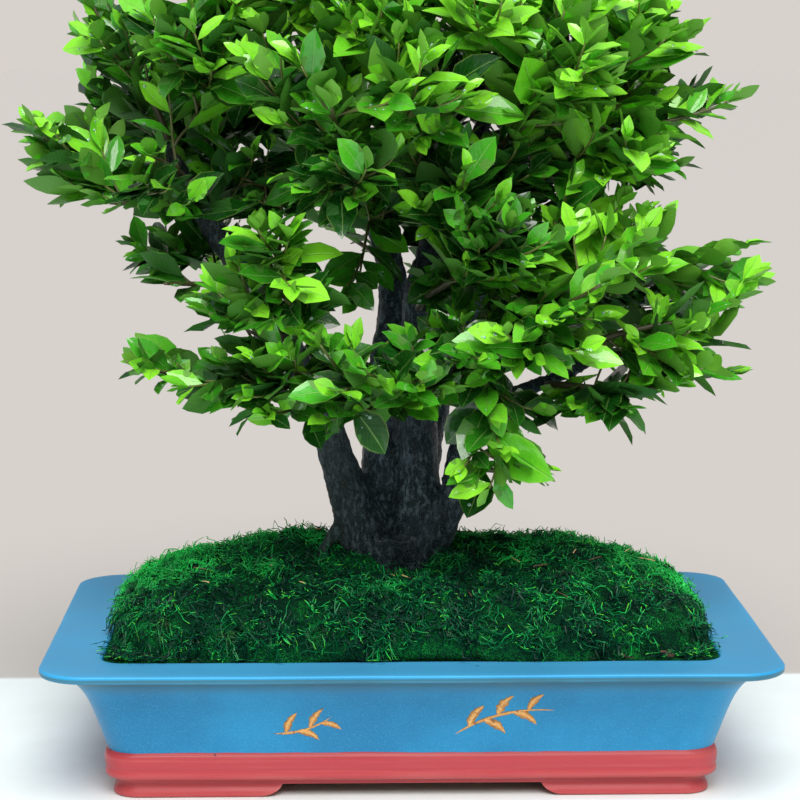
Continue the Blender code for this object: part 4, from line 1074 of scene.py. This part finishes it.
class Branch:
    """One spray: its stem, then shoots on it, then leaves on the shoots."""

    def __init__(self, name, node):
        self.rng = random.Random(name)
        self.start, heading, self.tip = spray_ends(node)
        end = self.tip + (self.start - self.tip) * (0.020 / np.linalg.norm(self.tip - self.start))
        arriving = unit(end - self.start) + (0.0, 0.0, 0.25)
        path = bent_path(self.start, heading, end, arriving, 61)
        last = max([k for k in range(61) if depth_in_pads(path[k]) < 0.95] + [30])
        stations = np.linspace(0, last, 20)
        self.stem = np.stack([np.interp(stations, np.arange(61), path[:, k]) for k in range(3)], axis=1)
        self.length = np.linalg.norm(np.diff(self.stem, axis=0), axis=1).sum()
        self.shoots, self.shoot_radii, self.leaves, self.tones, self.shaded = [], [], [], [], []

    def scatter(self):
        return np.array([self.rng.uniform(-1, 1) for _ in range(3)])

    def shoot(self, base, along, end, outward, youth_and_light):
        """A shoot that leaves its stem at a slant and bends up and out to its end, with its leaves."""
        length = np.linalg.norm(end - base)
        way = unit(end - base)
        arriving = unit(way + np.array((0.0, 0.0, 0.45)) + 0.35 * outward + 0.15 * self.scatter())
        path = bent_path(base, unit(0.5 * along + way), end, arriving, 9)
        self.shoots.append(path)
        self.shoot_radii.append(np.linspace(0.0007 + 0.008 * length, 0.0006, 9))
        self.leaf_along(path, length, max(0.12, 1.0 - LEAFY_STRETCH / length), outward, youth_and_light)
        return path

    def leaf_along(self, path, length, first, outward, youth_and_light, slack=0.0):
        """Leaves by turns on the two sides of a shoot, closer and younger towards its tip."""
        share = first + self.rng.uniform(0.0, 0.05)
        side = self.rng.choice((-1, 1))
        twist = self.rng.uniform(-0.6, 0.6)
        while share < 0.97:
            place, along = along_path(path, share)
            self.leaf(place, along, side, twist, share, outward, youth_and_light, slack)
            side = -side
            twist += self.rng.uniform(-0.35, 0.35)
            share += self.rng.uniform(*LEAF_SPACING) / length * (1.15 - 0.35 * share)
        place, along = along_path(path, 1.0)
        for side in (-1, 0, 1):
            self.leaf(place, along, 0.5 * side, twist, 1.0 + 0.1 * (side == 0), outward, youth_and_light, slack)

    def leaf(self, place, along, side, twist, share, outward, youth_and_light, slack):
        flat = np.cross(along, (0.0, 0.0, 1.0))
        flat = unit(flat) if np.linalg.norm(flat) > 0.2 else unit(np.cross(along, outward))
        aside = flat * math.cos(twist) + np.cross(flat, along) * math.sin(twist)
        spread = math.radians(self.rng.uniform(38, 58)) * (1.0 - 0.40 * max(0.0, share - 0.6))
        direction = along * math.cos(spread * side) + aside * math.sin(spread * side) + 0.14 * self.scatter()
        direction = unit(direction + np.array((0.0, 0.0, 0.10)))
        facing = np.array((0.0, 0.0, 0.70)) + 0.60 * outward + 0.42 * self.scatter()
        facing = unit(facing - direction * facing.dot(direction))
        age = min(1.0, share)
        size = (1.06 - 0.45 * max(0.0, age - 0.6) / 0.4) * self.rng.uniform(0.74, 1.24)
        if slack == 0 and share < 0.9 and self.rng.random() < LONG_LEAVES:
            longer = self.rng.uniform(1.3, 1.75)
            size *= longer if depth_in_pads(place + direction * LEAF_LENGTH * longer) < 0.95 else 1.0
        length = LEAF_LENGTH * size * (1.0 if share <= 1.0 else 0.75)
        depth = depth_in_pads(place)
        if depth_in_pads(place + direction * length) > self.rng.choice(OVERHANGS) + slack:
            return
        width = length * LEAF_WIDTH_SHARE * self.rng.uniform(0.86, 1.12)
        fold, curl = self.rng.uniform(0.05, 0.38), self.rng.uniform(-0.25, 0.75)
        sway, wave = self.rng.uniform(-0.10, 0.10), self.rng.uniform(0.0, 0.14)
        self.leaves.append([*place, *direction, *facing, length, width, fold, curl, sway, wave])
        tone = 0.22 + 0.48 * max(0.0, age - 0.5) / 0.5 + youth_and_light + self.rng.gauss(0.0, 0.18)
        # Leaves deep inside the pads are darker: partly older leaves, partly painted shade.
        self.tones.append(min(1.0, max(0.0, tone - 0.70 * max(0.0, 0.80 - depth))))
        self.shaded.append(depth < SHADED_DEPTH)


branches = [Branch(name, node) for name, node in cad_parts.items() if name.startswith("spray_")]
sprays = [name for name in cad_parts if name.startswith("spray_")]
holds = [(point, unit(along), k) for k, branch in enumerate(branches)
         for point, along in zip(branch.stem[3:], np.diff(branch.stem, axis=0)[2:])]  # fmt: skip
hold_points = np.array([point for point, _, _ in holds])
shears = random.Random(12)
shoot_ends = []
for middle, half in zip(pad_middles, pad_halves):
    inner = np.maximum(half - 0.012, half * 0.45)
    wanted = max(5, round(4.19 * half[0] * half[1] * half[2] / SPACE_FOR_A_SHOOT))
    for _ in range(wanted * 12):
        if wanted == 0:
            break
        way = unit(np.array([shears.gauss(0, 1) for _ in range(3)]))
        end = middle + way * inner * (0.35 + 0.65 * math.sqrt(shears.random()))
        if all(np.linalg.norm(end - other) > SHOOT_SPACING for other, _ in shoot_ends):
            shoot_ends.append((end, unit(way + unit(end - CROWN_MIDDLE))))
            wanted -= 1
shoot_ends.sort(key=lambda item: np.linalg.norm(hold_points - item[0], axis=1).min())
for end, outward in shoot_ends:
    ways = end - hold_points
    gaps = np.linalg.norm(ways, axis=1)
    growing = ways @ (outward + (0.0, 0.0, 0.4)) / (gaps + 1e-9)
    cost = gaps * (1.35 - 0.45 * growing) + np.where(gaps < 0.034, 0.3, 0.0)
    base, along, k = holds[int(np.argmin(cost))]
    pad = int(np.argmin(np.linalg.norm((end - pad_middles) / pad_halves, axis=1)))
    # Leaves are lighter towards the top and front of the crown and by their pad's value: partly fresh growth,
    # partly painted light.
    youth_and_light = 0.05 * (end[2] - 0.30) / 0.15 + 0.14 * max(0.0, -end[1] / 0.15) + pad_freshness_and_light[pad]
    path = branches[k].shoot(base, along, end, outward, youth_and_light)
    new = [(path[j], unit(path[j + 1] - path[j]), k) for j in (2, 3, 4, 5)]
    holds += new
    hold_points = np.concatenate([hold_points, [point for point, _, _ in new]])
for branch in branches:
    branch.leaf_along(branch.stem, branch.length, 0.45, unit(branch.tip - CROWN_MIDDLE), 0.05, 0.6)
# A few large old leaves hang singly in front of the wood. Each grows from the shoot nearest to its base.
hanging_leaves = [  # base, tip, how far it faces up
    ((-0.0362, -0.105, 0.2210), (-0.0130, -0.113, 0.2010), 0.60),
    ((-0.0598, -0.057, 0.2133), (-0.0510, -0.070, 0.1975), 0.25),
    ((0.0444, -0.036, 0.1782), (0.0345, -0.058, 0.1550), 0.70),
    ((0.0299, -0.070, 0.2190), (0.0210, -0.080, 0.1985), 0.05),
    ((0.0215, -0.031, 0.2967), (0.0000, -0.052, 0.2800), 0.60),
]
for base, tip, upward in hanging_leaves:
    place, _, k = min(holds, key=lambda hold: np.linalg.norm(hold[0] - base))
    length = np.linalg.norm(tip - place)
    direction = (tip - place) / length
    facing = np.array((0.05, -0.88, upward))
    facing = unit(facing - direction * facing.dot(direction))
    branches[k].leaves.append([*place, *direction, *facing, length, 0.62 * length, 0.14, 0.30, 0.04, 0.05])
    branches[k].tones.append(0.08)
    branches[k].shaded.append(False)

leaf_front, shader, place = new_finish("leaf_face")
tone, share, sideways = own_marks(place)
across = calculate("ABSOLUTE", sideways)
mottle = grain(place, 120.0, 3.0)
age = plus(tone, times_plus(mottle, 0.20, -0.15))
age = times_plus(share, 0.12, age)
colour = blend(between(age, 0.08, 0.50), OLD_LEAF, FULL_LEAF)
colour = blend(between(age, 0.42, 0.95), colour, YOUNG_LEAF)
veins = calculate("PINGPONG", times_plus(share, 9.0, times(across, -2.6)), 0.5)
vein_lines = between(veins, 0.10, 0.0)
rib = between(across, 0.085, 0.02)
pale = blend(0.45, colour, LEAF_RIB)
colour = blend(times(vein_lines, 0.12), colour, pale)
colour = blend(times(rib, 0.70), colour, pale)
# The leaf's margin is paler: partly its own yellow-green edge, partly painted rim light.
colour = blend(between(across, 0.86, 1.0, 0.0, 0.40), colour, LEAF_MARGIN_AND_RIM_LIGHT)
gloss = between(grain(place, 260.0, 2.0), 0.3, 0.7, 0.20, 0.42)
feed(shader, {"Base Color": colour, "Roughness": gloss, "Specular IOR Level": 0.30})
feed(shader, {"Coat Weight": 0.75, "Coat Roughness": 0.05})
relief = times_plus(rib, -1.0, times(vein_lines, -0.10))
relief = times_plus(mottle, 1.3, relief)
relief = times_plus(grain(place, 360.0, 2.0), 0.6, relief)
raise_surface(shader, relief, 0.6, 0.0007)

leaf_back, shader, place = new_finish("leaf_back")
tone, share, sideways = own_marks(place)
across = calculate("ABSOLUTE", sideways)
veins = calculate("PINGPONG", times_plus(share, 9.0, times(across, -2.6)), 0.5)
vein_lines = between(veins, 0.12, 0.0)
colour = blend(times(vein_lines, 0.15), blend(tone, OLD_BACK, YOUNG_BACK), BACK_VEIN)
feed(shader, {"Base Color": colour, "Roughness": 0.55})
raise_surface(shader, vein_lines, 0.5, 0.0001)

twig, shader, place = new_finish("green_twig_bark")
tone, share, _ = own_marks(place)
specks = grain(place, 900.0, 3.0)
greenness = times(tone, between(share, 0.0, 0.9, 0.35, 1.0))
colour = blend(greenness, WOODY_TWIG, GREEN_TWIG)
colour = blend(between(specks, 0.55, 0.75, 0.0, 0.6), colour, TWIG_SPECKS)
feed(shader, {"Base Color": colour, "Roughness": 0.5, "Coat Weight": 0.2})
raise_surface(shader, specks, 0.6, 0.0003)

dew_places = []
for name, branch in zip(sprays, branches):
    leaves, tones = np.array(branch.leaves), np.array(branch.tones)
    grown = Grown()
    thinning = np.linspace(0.0023, 0.0009, 20)[None, :]
    grown.add_tubes(branch.stem[None], thinning, 7, 0, np.array([0.25]))
    if branch.shoots:
        green = np.full(len(branch.shoots), 0.9)
        grown.add_tubes(np.array(branch.shoots), np.array(branch.shoot_radii), 5, 0, green)
    shaded = np.array(branch.shaded, dtype=bool)
    for (rows, parts), chosen in ((full_leaf, ~shaded), (shaded_leaf, shaded)):
        t, v, w, under = rows.T
        points = leaf_points(leaves[chosen], t, v, w, under)
        count = len(points)
        marks = np.stack([np.tile(t, count), np.tile(v, count), np.repeat(tones[chosen], len(t))], axis=1)
        offset = (np.arange(count) * len(t))[:, None, None]
        faces = [(part[None] + offset).reshape(-1, part.shape[1]) for part in parts]
        before = grown.count
        grown.add(points.reshape(-1, 3), faces[:2], 1, marks)
        for face in faces[2:]:
            grown.faces.append(face + before)
            grown.slots.append(np.full(len(face), 2))
    piece = grown.piece(name.replace("spray_", "leafy_"), [twig, leaf_front, leaf_back])
    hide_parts(name)
    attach(piece, "root")
    dew_places.append(leaves[(leaves[:, 8] > 0.25) & ~shaded])

# The water drops
# Rain or spray stands in small beads on the upper faces of the leaves. Each is a flattened bead that sits on
# the leaf's own surface: partly clear, with a pale colour that paints in the water's bright highlights.
DROPS = 2600
DROP_RADII = (0.00045, 0.00140)
PALE_WATER_PAINTED_SHEEN = (0.72, 0.95, 0.85, 1.0)

wet = np.concatenate(dew_places)
wet = wet[chance.integers(0, len(wet), DROPS)]
t, v = chance.uniform(0.25, 0.85, DROPS), chance.uniform(-0.7, 0.7, DROPS)


def on_each(t, v):
    """The point of each wet leaf at its own place along and across."""
    w = np.interp(t, leaf_stations, leaf_widths)
    return leaf_points(wet, t[:, None], v[:, None], w[:, None], np.zeros((len(t), 1)))[:, 0]


seat = on_each(t, v)
along = unit(on_each(t + 0.03, v) - seat)
aside = unit(on_each(t, v + 0.08) - seat)
normal = unit(np.cross(aside, along))
normal = np.where((normal * wet[:, 6:9]).sum(1, keepdims=True) < 0, -normal, normal)
aside = np.cross(along, normal)
size = DROP_RADII[0] + (DROP_RADII[1] - DROP_RADII[0]) * chance.random(DROPS) ** 2.2
turns = 2 * np.pi * np.arange(6) / 6
outline = [(1.0, 0.0), (0.72, 0.50)]
bead = [(r * math.cos(a), r * math.sin(a), z) for r, z in outline for a in turns]
bead = np.array(bead + [(0, 0, 0.68), (0, 0, -0.10)])
points = seat[:, None, :] + size[:, None, None] * (
    bead[None, :, 0:1] * along[:, None, :]
    + bead[None, :, 1:2] * aside[:, None, :]
    + bead[None, :, 2:3] * normal[:, None, :]
)
quads = [(k, (k + 1) % 6, 6 + (k + 1) % 6, 6 + k) for k in range(6)]
caps = [(6 + k, 6 + (k + 1) % 6, 12) for k in range(6)] + [((k + 1) % 6, k, 13) for k in range(6)]
offset = (np.arange(DROPS) * len(bead))[:, None, None]
faces = [(np.array(part)[None] + offset).reshape(-1, len(part[0])) for part in (quads, caps)]
marks = np.zeros((DROPS * len(bead), 3))
beads = Grown()
beads.add(points.reshape(-1, 3), faces, 0, marks)
water, shader, place = new_finish("water_with_painted_sheen")
# The pale base colour is a painted sheen for the drops' highlights.
feed(shader, {"Base Color": PALE_WATER_PAINTED_SHEEN, "Roughness": 0.02, "IOR": 1.33, "Transmission Weight": 0.70})
raise_surface(shader, grain(place, 300.0, 1.0), 0.1, 0.0002)
drops = beads.piece("water_drops", [water])
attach(drops, "root")

# The floor, the light and the camera
# A plain pale floor that turns from near white to warm beige behind the pot, under one wide soft light and
# an even, brighter-above studio dome.
FLOOR_REACH = 60
FLOOR_CLEARANCE = 0.0002
PALE_FLOOR = (0.870, 0.940, 0.955)
CLOUDY_FLOOR = (0.830, 0.890, 0.885)
FLOOR_BEHIND = (0.560, 0.520, 0.492)
DOME_BELOW = (0.685, 0.640, 0.605)
DOME_BESIDE = (0.27, 0.27, 0.27)
DOME_ABOVE = (0.46, 0.52, 0.58)
LIGHT_COLOUR = (1.0, 0.985, 0.95)
CAMERA_PLACE = (-0.0401, -1.5011, 0.4204)
CAMERA_YAW, CAMERA_PITCH = 0.0236, 0.1362
IMAGE_PIXELS = 800
FOCAL_PIXELS = 2526.76
SENSOR_WIDTH = 36.0

bm = bmesh.new()
corners = [(-FLOOR_REACH, -FLOOR_REACH), (FLOOR_REACH, -FLOOR_REACH)]
corners += [(FLOOR_REACH, FLOOR_REACH), (-FLOOR_REACH, FLOOR_REACH)]
bm.faces.new([bm.verts.new((x, y, -FLOOR_CLEARANCE)) for x, y in corners])
floor = piece_from(bm, "studio_floor")
pale, shader, place = new_finish("pale_floor")
depth = parts_of(place)[1]
clouding = grain(place, 14.0, 3.0)
front = blend(between(clouding, 0.35, 0.70), PALE_FLOOR, CLOUDY_FLOOR)
colour = blend(between(depth, 0.176, 0.186), front, FLOOR_BEHIND)
feed(shader, {"Base Color": colour, "Roughness": 0.7})
floor.data.materials.append(pale)
floor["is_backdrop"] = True

light = bpy.data.lights.new("soft_light", "SUN")
light.energy = 3.65
light.angle = math.radians(44)
light.color = LIGHT_COLOUR
lamp = bpy.data.objects.new("soft_light", light)
lamp.rotation_euler = (math.radians(38), math.radians(3), 0.0)
bpy.context.scene.collection.objects.link(lamp)

world = bpy.data.worlds.new("studio_dome")
world.use_nodes = True
bpy.context.scene.world = world
background = world.node_tree.nodes["Background"]
height = parts_of(step(background.inputs[0], "TexCoord", {}).outputs["Generated"])[2]
dome = blend(between(height, 0.03, 0.12), DOME_BELOW, DOME_BESIDE)
dome = blend(between(height, 0.55, 0.95), dome, DOME_ABOVE)
feed(background, {"Color": dome, "Strength": 1.0})

right = Vector((math.cos(CAMERA_YAW), -math.sin(CAMERA_YAW), 0.0))
level = math.cos(CAMERA_PITCH)
forward = Vector((math.sin(CAMERA_YAW) * level, math.cos(CAMERA_YAW) * level, -math.sin(CAMERA_PITCH)))
stance = Matrix((right, right.cross(forward), -forward)).transposed().to_4x4()
stance.translation = Vector(CAMERA_PLACE)
camera = bpy.data.objects.new("camera", bpy.data.cameras.new("camera"))
camera.data.sensor_width = SENSOR_WIDTH
camera.data.lens = FOCAL_PIXELS * SENSOR_WIDTH / IMAGE_PIXELS
camera.matrix_world = stance
bpy.context.scene.collection.objects.link(camera)
bpy.context.scene.camera = camera
bpy.context.scene.view_settings.view_transform = "Standard"

seen_low, seen_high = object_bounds()
size = {"cad": [list(cad_low), list(cad_high)], "visual": [list(seen_low), list(seen_high)]}
